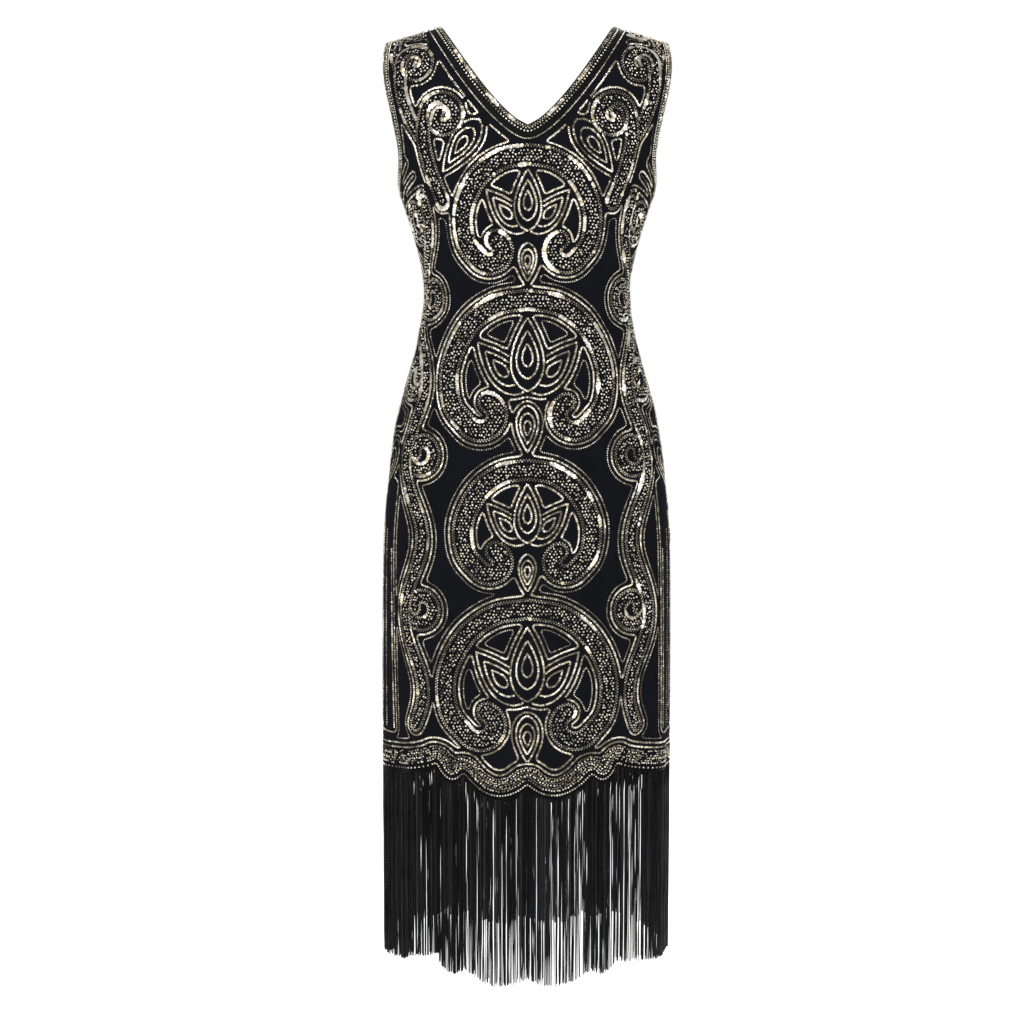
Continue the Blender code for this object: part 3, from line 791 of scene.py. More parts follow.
def sew_shape(work, side, outline, paired):
    """Sews a leaf, and its mirror image where it is one of a pair."""
    if paired:
        both_hands(work, side, sew_leaf, outline)
    else:
        sew_leaf(work, side, outline)
        work.claim(outline)


def stem_place(v):
    """The stem's middle line at heights in millimetres."""
    u = STEM_MIDDLE - STEM_SWAY * np.cos(2 * math.pi * (v - STEM_PHASE) / STEM_PITCH)
    return np.stack((u, v), axis=-1) * MM


def sew_stem(work, side):
    stem = stem_place(np.linspace(STEM_TOP, STEM_BOTTOM, STEM_PLACES))
    sew_bands(work, side, stem, STEM_WIDTH)
    for bay in range(STEM_BAYS):
        for curl in STEM_CURLS:
            start = STEM_PHASE - STEM_PITCH * bay + curl.start
            if curl.lowest < start < STEM_TOP + CURL_LEAD:
                lead = stem_place(np.linspace(start, start - CURL_LEAD, CURL_LEAD_PLACES))
                line = hooked(lead, curl.hand, curl.radius, curl.turn, CURL_TIGHTEN, CURL_STEPS)
                sew_bands(work, side, line, curl.width)


def sew_field(work, side):
    for unit in UNITS[work.behind]:
        sew_unit(work, side, unit)
    for scroll in CHEST_SCROLLS:
        line = hooked(curve(scroll.points), scroll.hand, scroll.radius, scroll.turn,
                      SCROLL_TIGHTEN, CURL_STEPS)
        sew_bands(work, side, line, scroll.width)
    sew_stem(work, side)
    for shape in SIDE_LEAVES:
        both_hands(work, side, sew_leaf, leaf(*shape))
    sew_lines(work, side)
    sew_echoes(work, side)


RAY_FOCUS, RAY_START, RAY_END = (228, -216), 14, 96
RAY_TURNS = tuple(range(112, 262, 12))
RAY_PITCH = 2.5
LINE_GAP = 3.2
LINE_CLAIM = 0.0005  # width of the ground that a ray takes
# Rows down the side, as (distance from the seam, item, pitch).
SIDE_ROWS = ((5, "tiny", 2.4), (13, "bold", None), (24, "paillette", 2.7), (38, "tiny", 3.0),
             (53, "paillette", 2.7))
SIDE_TOP, SIDE_BOTTOM = -0.520, -0.812
SIDE_PLACES = 120
SIDE_DROP = 0.6  # places that a row starts lower for each millimetre from the seam


def sew_lines(work, side):
    """Thin straight rows: rays under the arms, and rows down the sides of the skirt."""
    for hand in (1, -1):
        for turn in RAY_TURNS:
            aim = np.array([math.cos(math.radians(turn)), math.sin(math.radians(turn))])
            line = curve([RAY_FOCUS + RAY_START * aim, RAY_FOCUS + RAY_END * aim]) * (hand, 1)
            work.row(f"{side}_spangles", "paillette", line, RAY_PITCH, gap=LINE_GAP)
            work.claim(edge_strip(line, LINE_CLAIM))
        v = np.linspace(SIDE_TOP, SIDE_BOTTOM, SIDE_PLACES)
        for away, kind, pitch in SIDE_ROWS:
            line = np.stack((hand * (side_arc(v, work.behind) - away * MM), v), axis=-1)
            work.row(f"{side}_seed_beads", kind, line[int(away * SIDE_DROP):], pitch, gap=LINE_GAP)
        work.claim(edge_strip(line, -hand * SIDE_ROWS[-1][0] * MM))


def sew_echoes(work, side):
    """Thin rows that follow every shape at even distances, in the ground still open."""
    marks = [spaced(closed(outline), MM)[0] for outline, _, _ in work.taken]
    off_shapes = distance_to(np.concatenate(marks + [spaced(closed(work.outline), MM)[0]]))

    def room(spots):
        return np.where(work.free(spots, 0), off_shapes(spots), 0)

    levels = level_lines(room, ECHO_GRID, [away for away, _, _ in ECHOES])
    for (away, kind, pitch), lines in zip(ECHOES, levels):
        for line in lines:
            middle = np.abs(line.mean(axis=0)) * (1, -1)
            bare = any(np.hypot(*(middle - np.array(place) * MM)) < radius * MM
                       for place, radius in BARE)
            open_ground = middle[1] < OPEN_BELOW and middle[0] < OPEN_SIDE
            least = ECHO_LEAST * (1 if away == ECHOES[0][0] else 2)
            spare = away > ECHOES[1][0] or (away > ECHOES[0][0] and len(line) < 3 * ECHO_LEAST)
            if not bare and len(line) > least and not (open_ground and spare):
                work.row(f"{side}_echo_rows", kind, line, pitch, gap=ECHO_GAP)


WORK_SEEDS = {"front": 11, "back": 23}


@functools.lru_cache(maxsize=None)
def needlework():
    """All that is sewn on, a dict of piece name to [(behind, Sewn)]."""
    pieces = {}
    for side, behind in SIDES:
        work = Work(behind, WORK_SEEDS[side])
        trim_edges(work, side)
        sew_field(work, side)
        for name, sewn in work.sewn.items():
            pieces.setdefault(name, []).extend((behind, s) for s in sewn)
    return pieces


# ---------------------------------------------------------------- making meshes

MERGE = 0.00001  # points nearer than this are joined
BEAD_SEEDS = {"spangles": 1, "seed_beads": 2, "neck_beading": 3, "armhole_beading": 4,
              "hem_beading": 5, "echo_rows": 6}


@contextlib.contextmanager
def opened(mesh):
    """The mesh as a bmesh, which goes back into it at the end."""
    block = bmesh.new()
    block.from_mesh(mesh)
    yield block
    block.to_mesh(mesh)
    block.free()


def prototype(shape):
    """(points, faces) of one item, a unit across, lying flat with its length along X. A strand
    stands up from 0 to 1, two units across."""
    block = bmesh.new()
    if shape == "bead":
        bmesh.ops.create_icosphere(block, subdivisions=1, radius=0.5)
    elif shape == "disc":
        bmesh.ops.create_uvsphere(block, u_segments=6, v_segments=2, radius=0.5)
    else:
        bmesh.ops.create_cone(block, cap_ends=True, segments=4, radius1=1, radius2=1, depth=1)
        bmesh.ops.translate(block, verts=block.verts[:], vec=(0, 0, 0.5))
        upright = [e for e in block.edges if abs(e.verts[0].co.z - e.verts[1].co.z) > 0.5]
        bmesh.ops.subdivide_edges(block, edges=upright, cuts=STRAND_CUTS)
    bmesh.ops.recalc_face_normals(block, faces=block.faces[:])
    block.verts.index_update()
    points = np.array([v.co for v in block.verts])
    faces = [[v.index for v in f.verts] for f in block.faces]
    block.free()
    return points, faces


def copies(name, batches, materials):
    """One mesh of many copies. A batch is (faces of one, points as copy by point, index of the
    material, {attribute: value of each copy})."""
    points, faces, looks, values, total = [], [], [], {}, 0
    for own, placed, look, labels in batches:
        count, size = placed.shape[:2]
        points.append(placed.reshape(-1, 3))
        for start in range(total, total + count * size, size):
            faces.extend([start + i for i in face] for face in own)
        looks.extend([look] * (count * len(own)))
        total += count * size
        for label, value in labels.items():
            values.setdefault(label, []).append(np.repeat(value, size))
    mesh = bpy.data.meshes.new(name)
    mesh.from_pydata(np.concatenate(points).tolist(), [], faces)
    for label, parts in values.items():
        attribute = mesh.attributes.new(label, "FLOAT", "POINT")
        attribute.data.foreach_set("value", np.concatenate(parts).astype(np.float32))
    for material in materials:
        mesh.materials.append(material)
    mesh.polygons.foreach_set("material_index", np.array(looks, np.int32))
    return shown(name, mesh)


def sewn_piece(name, groups, lift, seed):
    """One mesh of all the items of a piece, with each item's tone and warmth as attributes."""
    rng = np.random.default_rng(seed)
    batches = []
    for behind, sewn in groups:
        centre, ahead, upward, normal = cloth_frame(*sewn.spots.T, behind)
        held = np.linalg.norm(normal, axis=1) > 0.5  # not over the shoulder seam
        centre, ahead, upward, normal = centre[held], ahead[held], upward[held], normal[held]
        heading, drift, v = sewn.heading[held], sewn.drift[held], sewn.spots[held, 1]
        count = len(v)
        if not count:
            continue
        item = ITEMS[sewn.kind]
        shape, faces = prototype(item.shape)
        along = np.cos(heading)[:, None] * ahead + np.sin(heading)[:, None] * upward
        across = np.cross(normal, along)
        tip = rng.normal(0, item.lean, (count, 2))
        tip[:, 0] += SHINGLE if item.shine else 0
        tip[:, 1] += TILT_DRIFT * drift
        facing = normal + tip[:, :1] * along + tip[:, 1:] * across
        facing /= lengths(facing)
        across = np.cross(facing, along)
        across /= lengths(across)
        along = np.cross(across, facing)
        size = rng.normal(1, SIZE_SPREAD, (count, 1, 1)) * MM
        local = shape * (item.length, item.width, item.height)
        placed = (centre + (item.lift * MM + lift) * normal)[:, None] + size * (
            local[None, :, :1] * along[:, None] + local[None, :, 1:2] * across[:, None]
            + local[None, :, 2:] * facing[:, None])
        # The tone follows the row's drift, a painted highlight and shade along the row, is darker
        # towards the hem, and has each item's own random spread.
        low = np.clip((TONE_TOP - v) / TONE_REACH, 0, 1)
        tone = (TONE + item.tone + PAINTED_LIGHT_AND_TONE_DRIFT * drift - TONE_FALL * low
                + rng.normal(0, TONE_SPREAD, count))
        warmth = rng.normal(WARMTH, WARMTH_SPREAD, count)
        batches.append((faces, placed, item.shine, {"tone": np.clip(tone, 0, 1),
                                                    "warmth": np.clip(warmth, 0, 1)}))
    return copies(name, batches, (glass_beads(), mirror_sequins()))


def shown(name, mesh):
    piece = bpy.data.objects.new(name, mesh)
    bpy.context.scene.collection.objects.link(piece)
    return piece


def made(name, block, material):
    """The finished bmesh as an object in its material."""
    mesh = bpy.data.meshes.new(name)
    block.to_mesh(mesh)
    block.free()
    mesh.materials.append(material)
    return shown(name, mesh)


def cloth_grid(name, place, columns, rows, material):
    """A sheet of columns by rows cells. place(i, j) gives points and places on the cut cloth."""
    block = bmesh.new()
    bmesh.ops.create_grid(block, x_segments=columns, y_segments=rows, size=0.5)
    verts = block.verts[:]
    i = np.array([round((v.co.x + 0.5) * columns) for v in verts])
    j = np.array([round((v.co.y + 0.5) * rows) for v in verts])
    points, flat = place(i, j)
    for vert, point in zip(verts, points):
        vert.co = point
    layer = block.loops.layers.uv.new("cut_cloth")
    places = dict(zip((v.index for v in verts), flat))
    for face in block.faces:
        for loop in face.loops:
            loop[layer].uv = places[loop.vert.index]
    bmesh.ops.remove_doubles(block, verts=verts, dist=MERGE)
    piece = made(name, block, material)
    piece.data.shade_smooth()
    return piece


def thicken(piece, thickness):
    """Gives a sheet its thickness, inwards from its face."""
    wall = piece.modifiers.new("thickness", "SOLIDIFY")
    wall.thickness = thickness
    wall.offset = -1
    wall.use_even_offset = False


def outward(mesh, behind):
    """Turns the sheet's faces to the outside of the dress."""
    with opened(mesh) as block:
        block.normal_update()
        side = 1 if behind else -1
        lean = sum(face.normal.y * face.calc_area() for face in block.faces)
        if lean * side < 0:
            bmesh.ops.reverse_faces(block, faces=block.faces[:])


# ---------------------------------------------------------------- cloth

HALF_COLUMNS = 40
BODY_ROWS, CHEST_ROWS, STRAP_ROWS = 118, 12, 30
HEM_REACH = 0.085  # how far up the rows still follow the scallops
STRAP_CROWD = 1.8  # more crowds a strap's rows towards the shoulder seam
CLOTH_THICKNESS = 0.0010
TAPE_CELL = 0.003
NECK_TAPE, NECK_TAPE_COLUMNS = 0.0006, 90  # thickness, and places from the V's tip to the seam


def panel_rows(share, level, behind):
    """(turn, z) at a share of the way from the inner edge to the side, and a level from 0, the
    hem, over 1, the underarm, and 2, the V's tip, to 3, the shoulder seam."""
    tip = V_TIP[behind]
    body = np.clip(level, 0, 1)
    arc = share * hem_edge(behind)[-1, 0]
    flat = HEM_LEVEL + (UNDERARM_Z - HEM_LEVEL) * body
    near = np.clip(1 - (flat - HEM_LEVEL) / HEM_REACH, 0, 1)
    low_z = flat + near * (hem_height(arc) - HEM_LEVEL)
    chest = np.clip(level - 1, 0, 1)
    chest_z = UNDERARM_Z + (tip - UNDERARM_Z) * chest
    z = np.where(level <= 1, low_z, chest_z)
    level_z = np.where(level <= 1, flat, chest_z)
    edge = np.where(level <= 1, math.pi / 2, armhole_turn(chest_z))
    turn = turn_at(share * arc_at(edge, level_z, behind), level_z, behind)
    strap = level > 2
    if strap.any():
        share, step = share[strap], 1 - (1 - (level[strap] - 2))**STRAP_CROWD
        neck_point = np.array([NECK_POINT_X]), np.array([NECK_POINT_Z])
        neck = np.full(len(share), turn_at_x(*neck_point)[0])
        top_z = np.full(len(share), SHOULDER_TIP_Z)
        seam = along_cloth(neck, armhole_turn(top_z), share, top_z, behind)
        top = seam_height(seam)
        ends = NECK_POINT_Z, top, SHOULDER_TIP_Z
        inner, here, outer = (tip + (end - tip) * step for end in ends)
        first = turn_at_x(NECK_POINT_X * step**(1 / NECK_CURVE), inner)
        across = along_cloth(first, armhole_turn(outer), share, here, behind)
        turn[strap] = np.where(step >= 1, seam, across)
        z[strap] = np.where(step >= 1, top, here)
    return turn, z


def along_cloth(first, last, share, z, behind):
    """The turn at a share of the cloth's way from one turn to another."""
    start, end = arc_at(first, z, behind), arc_at(last, z, behind)
    return turn_at(start + (end - start) * share, z, behind)


def seam_height(turn):
    """Heights of the shoulder seam at turns from the centre."""
    height = np.full(len(turn), NECK_POINT_Z)
    for _ in range(SETTLING):
        height = shoulder_height(plan(height, turn)[0])
    return height


def make_cloth(side, behind):
    rows = BODY_ROWS + CHEST_ROWS + STRAP_ROWS

    def place(i, j):
        hand = np.where(i < HALF_COLUMNS + 1, -1, 1)
        share = np.where(i <= HALF_COLUMNS, HALF_COLUMNS - i, i - HALF_COLUMNS - 1) / HALF_COLUMNS
        level = np.interp(j, (0, BODY_ROWS, BODY_ROWS + CHEST_ROWS, rows), (0, 1, 2, 3))
        turn, z = panel_rows(share, level, behind)
        points = surface(turn, z, hand, behind)
        points[:, 0] = np.where(turn == 0, 0, points[:, 0])  # the centre line is straight
        u = hand * arc_at(turn, z, behind)
        return points, np.stack((u, rolled_out(points[:, 0], z)), axis=-1)

    piece = cloth_grid(f"{side}_cloth", place, 2 * HALF_COLUMNS + 1, rows, knitted_net())
    open_neck(piece.data, behind)
    outward(piece.data, behind)
    thicken(piece, CLOTH_THICKNESS)
    return piece


def open_neck(mesh, behind):
    """Removes the cells that join the two halves across the neck."""
    with opened(mesh) as block:
        high = [face for face in block.faces if face.calc_center_median().z > V_TIP[behind] - MM]
        span = [face for face in high if min(vert.co.x for vert in face.verts) < -0.1 * MM
                and max(vert.co.x for vert in face.verts) > 0.1 * MM]
        bmesh.ops.delete(block, geom=span, context="FACES")
        bmesh.ops.dissolve_degenerate(block, dist=MERGE, edges=block.edges[:])


def make_tape(name, line, width, lift, thickness, behind, material):
    """A flat tape along a line on the cloth, its width to the line's right."""
    rows = max(int(abs(width) / TAPE_CELL), 2)

    def place(i, j):
        spots = np.array([offset(line, -width * r / rows) for r in range(rows + 1)])
        flat = spots[j, i]
        u, v = flat.T
        centre, _, _, normal = cloth_frame(u, v, behind)
        return centre + lift * normal, flat

    piece = cloth_grid(name, place, len(line) - 1, rows, material)
    outward(piece.data, behind)
    thicken(piece, thickness)
    return piece


# ---------------------------------------------------------------- fringe

STRIP_GAP, STRIP_HEIGHT = 0.0008, 0.0060
STRIP_THICKNESS, STRIP_SINK, STRIP_TUCK = 0.0014, 0.0004, 0.001
ROOT = 0.4  # share of the tape's height above the strands' roots
TIP_LEVELLING = 0.25  # how far the cut of the tips evens out the scallops
CUT_SHORT, CUT_SPREAD = 0.0016, 1.6  # gamma scale and shape of how much shorter strands are
STRAND_CUTS = 8
STRAND_STRAY = 0.0003
CLUMPS, CLUMP = 200, (0.003, 0.009)  # spacing of the clumps that the strands gather in
# The most and least that a strand is drawn to its clump, the share of its fall over which that
# builds up, how bluntly it does, and how much more it is at the tip.
PULL, PULL_REACH, PULL_BLUNT, PULL_TIP = (0.0, 0.13), 0.25, 0.8, 0.25
WAVE, WAVE_PACE = (0.00005, 0.00035), (0.6, 2.6)  # size and number of a strand's waves
LAYER, LAYER_REACH = 0.0030, 0.06  # how deep strands hang behind each other, and from where
TWIST_START, TWIST = 3, 9  # radians
TIP_TAPER, TAPER_BLUNT = 0.25, 6
FRINGE_SEED = 31
# Strands to a millimetre, as (place in millimetres from the centre, number).
CROWDING = {
    False: ((-242, 1.7), (-150, 1.7), (-142, 0.7), (-134, 1.5), (-110, 1.9), (-98, 2.4), (-76, 2.3),
            (-72, 0.5), (-68, 1.8), (-60, 1.0), (-40, 1.2), (-14, 1.1), (-10, 0.5), (-6, 1.8),
            (6, 1.1), (26, 1.4), (30, 0.6), (36, 1.1), (58, 1.1), (66, 0.7), (72, 1.7), (98, 1.8),
            (101, 0.8), (105, 1.5), (124, 1.2), (132, 0.6), (150, 0.9), (162, 1.7), (242, 1.7)),
    True: ((-242, 1.5), (-166, 1.5), (-156, 0.6), (-146, 1.1), (-110, 1.1), (-84, 1.7), (-78, 0.4),
           (-72, 1.3), (-40, 1.0), (-15, 1.2), (-11, 0.4), (-6, 1.5), (24, 1.2), (33, 0.5),
           (40, 1.2), (62, 1.1), (72, 0.4), (80, 1.4), (106, 1.4), (112, 0.5), (118, 1.1),
           (140, 0.5), (166, 0.8), (176, 1.5), (242, 1.5)),
}
# How much shorter the strands are in places, in millimetres.
SHORTER = {False: ((-168, 0), (-150, 7), (-108, 9), (-106, 0)), True: ((0, 0),)}


def make_fringe(name, behind, seed):
    """Strands that hang from the tape, each one a copy bent along its own fall."""
    rng = np.random.default_rng(seed)
    sizes = bpy.context.scene.dress_sizes
    half = hem_edge(behind)[-1, 0]
    along = np.arange(-half, half, MM)
    sewn = np.cumsum(np.interp(along / MM, *zip(*CROWDING[behind])))
    count = int(sewn[-1])
    home = np.interp(np.arange(count) + 0.5, sewn, along)
    home = (home + rng.normal(0, STRAND_STRAY, count))[:, None]
    clumps = np.cumsum(rng.uniform(*CLUMP, CLUMPS)) - half
    near = clumps[np.abs(home - clumps).argmin(axis=1)][:, None]
    shape, faces = prototype("strand")
    fall = shape[None, :, 2]
    pull = (rng.uniform(*PULL, (count, 1)) * np.minimum(fall / PULL_REACH, 1)**PULL_BLUNT
            * (1 + PULL_TIP * fall))
    wave = rng.uniform(*WAVE, (2, count, 1))
    start = rng.uniform(0, 2 * math.pi, (2, count, 1))
    pace = rng.uniform(*WAVE_PACE, (2, count, 1))
    sway = wave * (np.sin(2 * math.pi * pace * fall + start) - np.sin(start))
    u = np.clip(home + (near - home) * pull + sway[0], -half, half)
    depth = rng.uniform(-LAYER, 0, (count, 1)) * np.minimum(fall / LAYER_REACH, 1) + sway[1]
    hem = hem_height(np.abs(home))
    length = sizes.strand_length - rng.gamma(CUT_SPREAD, CUT_SHORT, (count, 1))
    length -= TIP_LEVELLING * (HEM_LEVEL - hem) - (1 - ROOT) * STRIP_HEIGHT
    length -= np.interp(home / MM, *zip(*SHORTER[behind])) * MM
    z = (hem - STRIP_GAP - ROOT * STRIP_HEIGHT - length * fall).ravel()
    turn = turn_at(np.abs(u).ravel(), np.full(u.size, HEM_LEVEL), behind)
    middle = surface(turn, z, np.where(u.ravel() < 0, -1, 1), behind)
    out = middle * (1, 1, 0) / np.linalg.norm(middle[:, :2], axis=1, keepdims=True)
    side = np.cross((0, 0, 1), out)
    twist = (rng.uniform(0, TWIST_START, (count, 1)) + TWIST * fall).ravel()
    across, inward = (np.tile(shape[:, k], count) for k in (0, 1))
    aside = np.cos(twist) * across - np.sin(twist) * inward
    ahead = np.sin(twist) * across + np.cos(twist) * inward
    radius = sizes.strand_width / 2 * (1 - TIP_TAPER * np.tile(shape[:, 2], count)**TAPER_BLUNT)
    points = (middle + (radius * aside)[:, None] * side
              + (depth.ravel() + radius * ahead)[:, None] * out)
    # Each strand gets a random shade. The highest ones are drawn much lighter in rayon_cord, a
    # painted sheen, and the rest vary at random near black.
    batch = (faces, points.reshape(count, -1, 3), 0, {"shade": rng.uniform(0, 1, count)})
    piece = copies(name, [batch], (rayon_cord(),))
    layer = piece.data.uv_layers.new(name="strand")
    corners = np.zeros(len(piece.data.loops), np.int32)
    piece.data.loops.foreach_get("vertex_index", corners)
    own = shape[corners % len(shape)]
    place = np.stack((np.arctan2(own[:, 1], own[:, 0]) / (2 * math.pi) + 0.5, own[:, 2]), axis=-1)
    layer.data.foreach_set("uv", place.astype(np.float32).ravel())
    with opened(piece.data) as block:
        bmesh.ops.recalc_face_normals(block, faces=block.faces[:])
    piece.data.shade_smooth()
    return piece


# ---------------------------------------------------------------- materials

NET_CELL = 0.0017  # 1.7 mm across, about twice that of real net so that it shows
RIB_SCALE = 180.0  # ribs 1.7 mm apart, coarser than in real ribbon so that they show
CORD_TURNS = 75.0  # 226 mm of cord with a turn every 3 mm


def linear(code):
    """An sRGB hex colour as linear RGBA."""
    channels = [int(code[i:i + 2], 16) / 255 for i in (1, 3, 5)]
    return (*[c / 12.92 if c <= 0.04045 else ((c + 0.055) / 1.055)**2.4 for c in channels], 1.0)


def add(tree, kind, settings=None, links=None):
    """Adds a node with its settings and the links into it."""
    return wire(tree, tree.nodes.new(kind), settings, links)


def wire(tree, node, settings=None, links=None):
    """Gives a node its settings and the links into it."""
    for name, value in (settings or {}).items():
        if isinstance(name, int) or name in node.inputs:
            node.inputs[name].default_value = value
        else:
            setattr(node, name, value)
    for name, socket in (links or {}).items():
        tree.links.new(socket, node.inputs[name])
    return node


def new_material(name):
    material = bpy.data.materials.new(name)
    material.use_nodes = True
    tree = material.node_tree
    return material, tree, tree.nodes["Principled BSDF"]


def ramp(tree, factor, *stops):
    """A colour ramp through (position, colour) stops, the first two at its ends."""
    node = add(tree, "ShaderNodeValToRGB", links={"Fac": factor})
    for element, (position, colour) in zip(node.color_ramp.elements, stops):
        element.position, element.color = position, colour
    for position, colour in stops[2:]:
        node.color_ramp.elements.new(position).color = colour
    return node.outputs["Color"]


def shaded(colour, share):
    """The colour made darker or lighter by a share of its light."""
    return (*[min(channel * share, 1) for channel in colour[:3]], 1.0)


def cached_material(make):
    """Makes a material once and gives the same one each time."""
    @functools.wraps(make)
    def get():
        found = bpy.data.materials.get(make.__name__)
        return found or make(make.__name__)
    return get


@cached_material
def knitted_net(name):
    """Knitted nylon net over a stretch lining: matt, with a fine honeycomb and a faint bloom."""
    material, tree, shader = new_material(name)
    place = add(tree, "ShaderNodeUVMap", {"uv_map": "cut_cloth"}).outputs["UV"]
    cells = add(tree, "ShaderNodeVectorMath", {"operation": "SCALE", "Scale": 1 / NET_CELL},
                {0: place})
    mesh = add(tree, "ShaderNodeTexVoronoi",
               {"voronoi_dimensions": "2D", "feature": "DISTANCE_TO_EDGE", "Scale": 1.0,
                "Randomness": 0.25}, {"Vector": cells.outputs[0]})
    thread = add(tree, "ShaderNodeMapRange",
                 {"From Min": 0.03, "From Max": 0.16, "To Min": 1.0, "To Max": 0.0},
                 {"Value": mesh.outputs["Distance"]})
    blotch = add(tree, "ShaderNodeTexNoise", {"Scale": 34.0, "Detail": 3.0}, {"Vector": place})
    net = bpy.context.scene.dress_colours.net
    ground = ramp(tree, blotch.outputs["Fac"], (0.35, shaded(net, 0.6)), (0.65, shaded(net, 1.0)))
    colour = add(tree, "ShaderNodeMix", {"data_type": "RGBA", "B": shaded(net, 2.4)},
                 {"Factor": thread.outputs["Result"], "A": ground})
    bump = add(tree, "ShaderNodeBump", {"Strength": 0.5, "Distance": 0.0003},
               {"Height": thread.outputs["Result"]})
    wire(tree, shader, {"Roughness": 0.85, "Specular IOR Level": 0.03},
         {"Base Color": colour.outputs["Result"], "Normal": bump.outputs["Normal"]})
    return material


@cached_material
def satin_tape(name):
    """Woven black satin ribbon: fine ribs across it and a soft gloss."""
    material, tree, shader = new_material(name)
    place = add(tree, "ShaderNodeUVMap", {"uv_map": "cut_cloth"}).outputs["UV"]
    ribs = add(tree, "ShaderNodeTexWave", {"Scale": RIB_SCALE, "Distortion": 1.0},
               {"Vector": place})
    bump = add(tree, "ShaderNodeBump", {"Strength": 0.4, "Distance": 0.0002},
               {"Height": ribs.outputs["Fac"]})
    ribbon = bpy.context.scene.dress_colours.ribbon
    # The grooves between the ribs are drawn darker than the ribs' tops: painted shade between the
    # lit ribs.
    colour = ramp(tree, ribs.outputs["Fac"], (0.2, shaded(ribbon, 0.4)), (0.9, shaded(ribbon, 1.0)))
    wire(tree, shader, {"Roughness": 0.50, "Specular IOR Level": 0.06},
         {"Base Color": colour, "Normal": bump.outputs["Normal"]})
    return material


def metal_tones(tree, dark, middle):
    """Each item's colour: its tone picks a shade of silver, partly its own and partly painted
    highlight and shade along its row, and its warmth turns that to champagne."""
    colours = bpy.context.scene.dress_colours
    tone = add(tree, "ShaderNodeAttribute", {"attribute_name": "tone"}).outputs["Fac"]
    warmth = add(tree, "ShaderNodeAttribute", {"attribute_name": "warmth"}).outputs["Fac"]
    silver = ramp(tree, tone, (0.15, linear(dark)), (0.85, colours.silver[:]),
                  (0.5, linear(middle)))
    mix = add(tree, "ShaderNodeMix", {"data_type": "RGBA", "blend_type": "MULTIPLY",
              "B": colours.champagne[:]}, {"Factor": warmth, "A": silver})
    return mix.outputs["Result"]


@cached_material
def glass_beads(name):
    """Silver-lined glass seed beads: bright, small soft glints, each a little different."""
    material, tree, shader = new_material(name)
    colour = metal_tones(tree, "#77736a", "#dedad0")
    wire(tree, shader, {"Metallic": 0.7, "Roughness": 0.42}, {"Base Color": colour})
    return material


@cached_material
def mirror_sequins(name):
    """Metallised film sequins: nearly mirrors, silver to champagne."""
    material, tree, shader = new_material(name)
    colour = metal_tones(tree, "#6a665d", "#c9c4b8")
    wire(tree, shader, {"Metallic": 0.8, "Roughness": 0.26}, {"Base Color": colour})
    return material


@cached_material
def rayon_cord(name):
    """Two-ply twisted rayon: black with a silky sheen that runs along the twist."""
    material, tree, shader = new_material(name)
    place = add(tree, "ShaderNodeUVMap", {"uv_map": "strand"}).outputs["UV"]
    shade = add(tree, "ShaderNodeAttribute", {"attribute_name": "shade"}).outputs["Fac"]
    turned = add(tree, "ShaderNodeMapping", {"Scale": (1.0, CORD_TURNS, 1.0)}, {"Vector": place})
    ply = add(tree, "ShaderNodeTexWave", {"wave_type": "BANDS", "bands_direction": "DIAGONAL",
              "Scale": 0.5, "Distortion": 0.6}, {"Vector": turned.outputs["Vector"]})
    bump = add(tree, "ShaderNodeBump", {"Strength": 0.8, "Distance": 0.0004},
               {"Height": ply.outputs["Fac"]})
    cord = bpy.context.scene.dress_colours.cord
    # Most strands stay near black at random. The few at the top of the ramp are drawn up to nine
    # times lighter: a painted sheen.
    colour = ramp(tree, shade, (0.0, shaded(cord, 0.4)), (1.0, shaded(cord, 9.0)), (0.7, cord[:]))
    wire(tree, shader, {"Roughness": 0.45, "Specular IOR Level": 0.10},
         {"Base Color": colour, "Normal": bump.outputs["Normal"]})
    return material


@cached_material
def pale_floor(name):
    """Matt white studio paint."""
    material, tree, shader = new_material(name)
    place = add(tree, "ShaderNodeTexCoord").outputs["Object"]
    speckle = add(tree, "ShaderNodeTexNoise", {"Scale": 60.0, "Detail": 2.0}, {"Vector": place})
    colour = ramp(tree, speckle.outputs["Fac"], (0.3, linear("#fafafa")), (0.7, linear("#ffffff")))
    wire(tree, shader, {"Roughness": 0.9, "Emission Color": (1, 1, 1, 1),
                        "Emission Strength": 0.68}, {"Base Color": colour})
    return material


# ---------------------------------------------------------------- stage

CAMERA_PLACE = (-0.0176, -2.2961, -0.3063)
CAMERA_PITCH = 6.285  # degrees below level
LENS, SENSOR = 67.68, 36.0
FLOOR_Z, FLOOR_SIZE = -1.40, 20
ROOM_LIGHT = 0.35
Lamp = namedtuple("Lamp", "name place size power")
LAMPS = (
    Lamp("key_softbox", (-1.3, -1.9, 1.1), 1.2, 38),
    Lamp("fill_softbox", (1.7, -1.7, 0.6), 1.4, 20),
    Lamp("top_softbox", (0.0, -0.3, 1.6), 1.2, 16),
    Lamp("back_softbox", (0.4, 2.3, 0.6), 1.4, 22),
)
AIM = Vector((0, 0, -0.3))


def placed_in_scene(item, place, turn):
    """An object for a lamp or a camera, at its place and turned."""
    holder = bpy.data.objects.new(item.name, item)
    holder.location, holder.rotation_euler = place, turn
    bpy.context.scene.collection.objects.link(holder)
    return holder


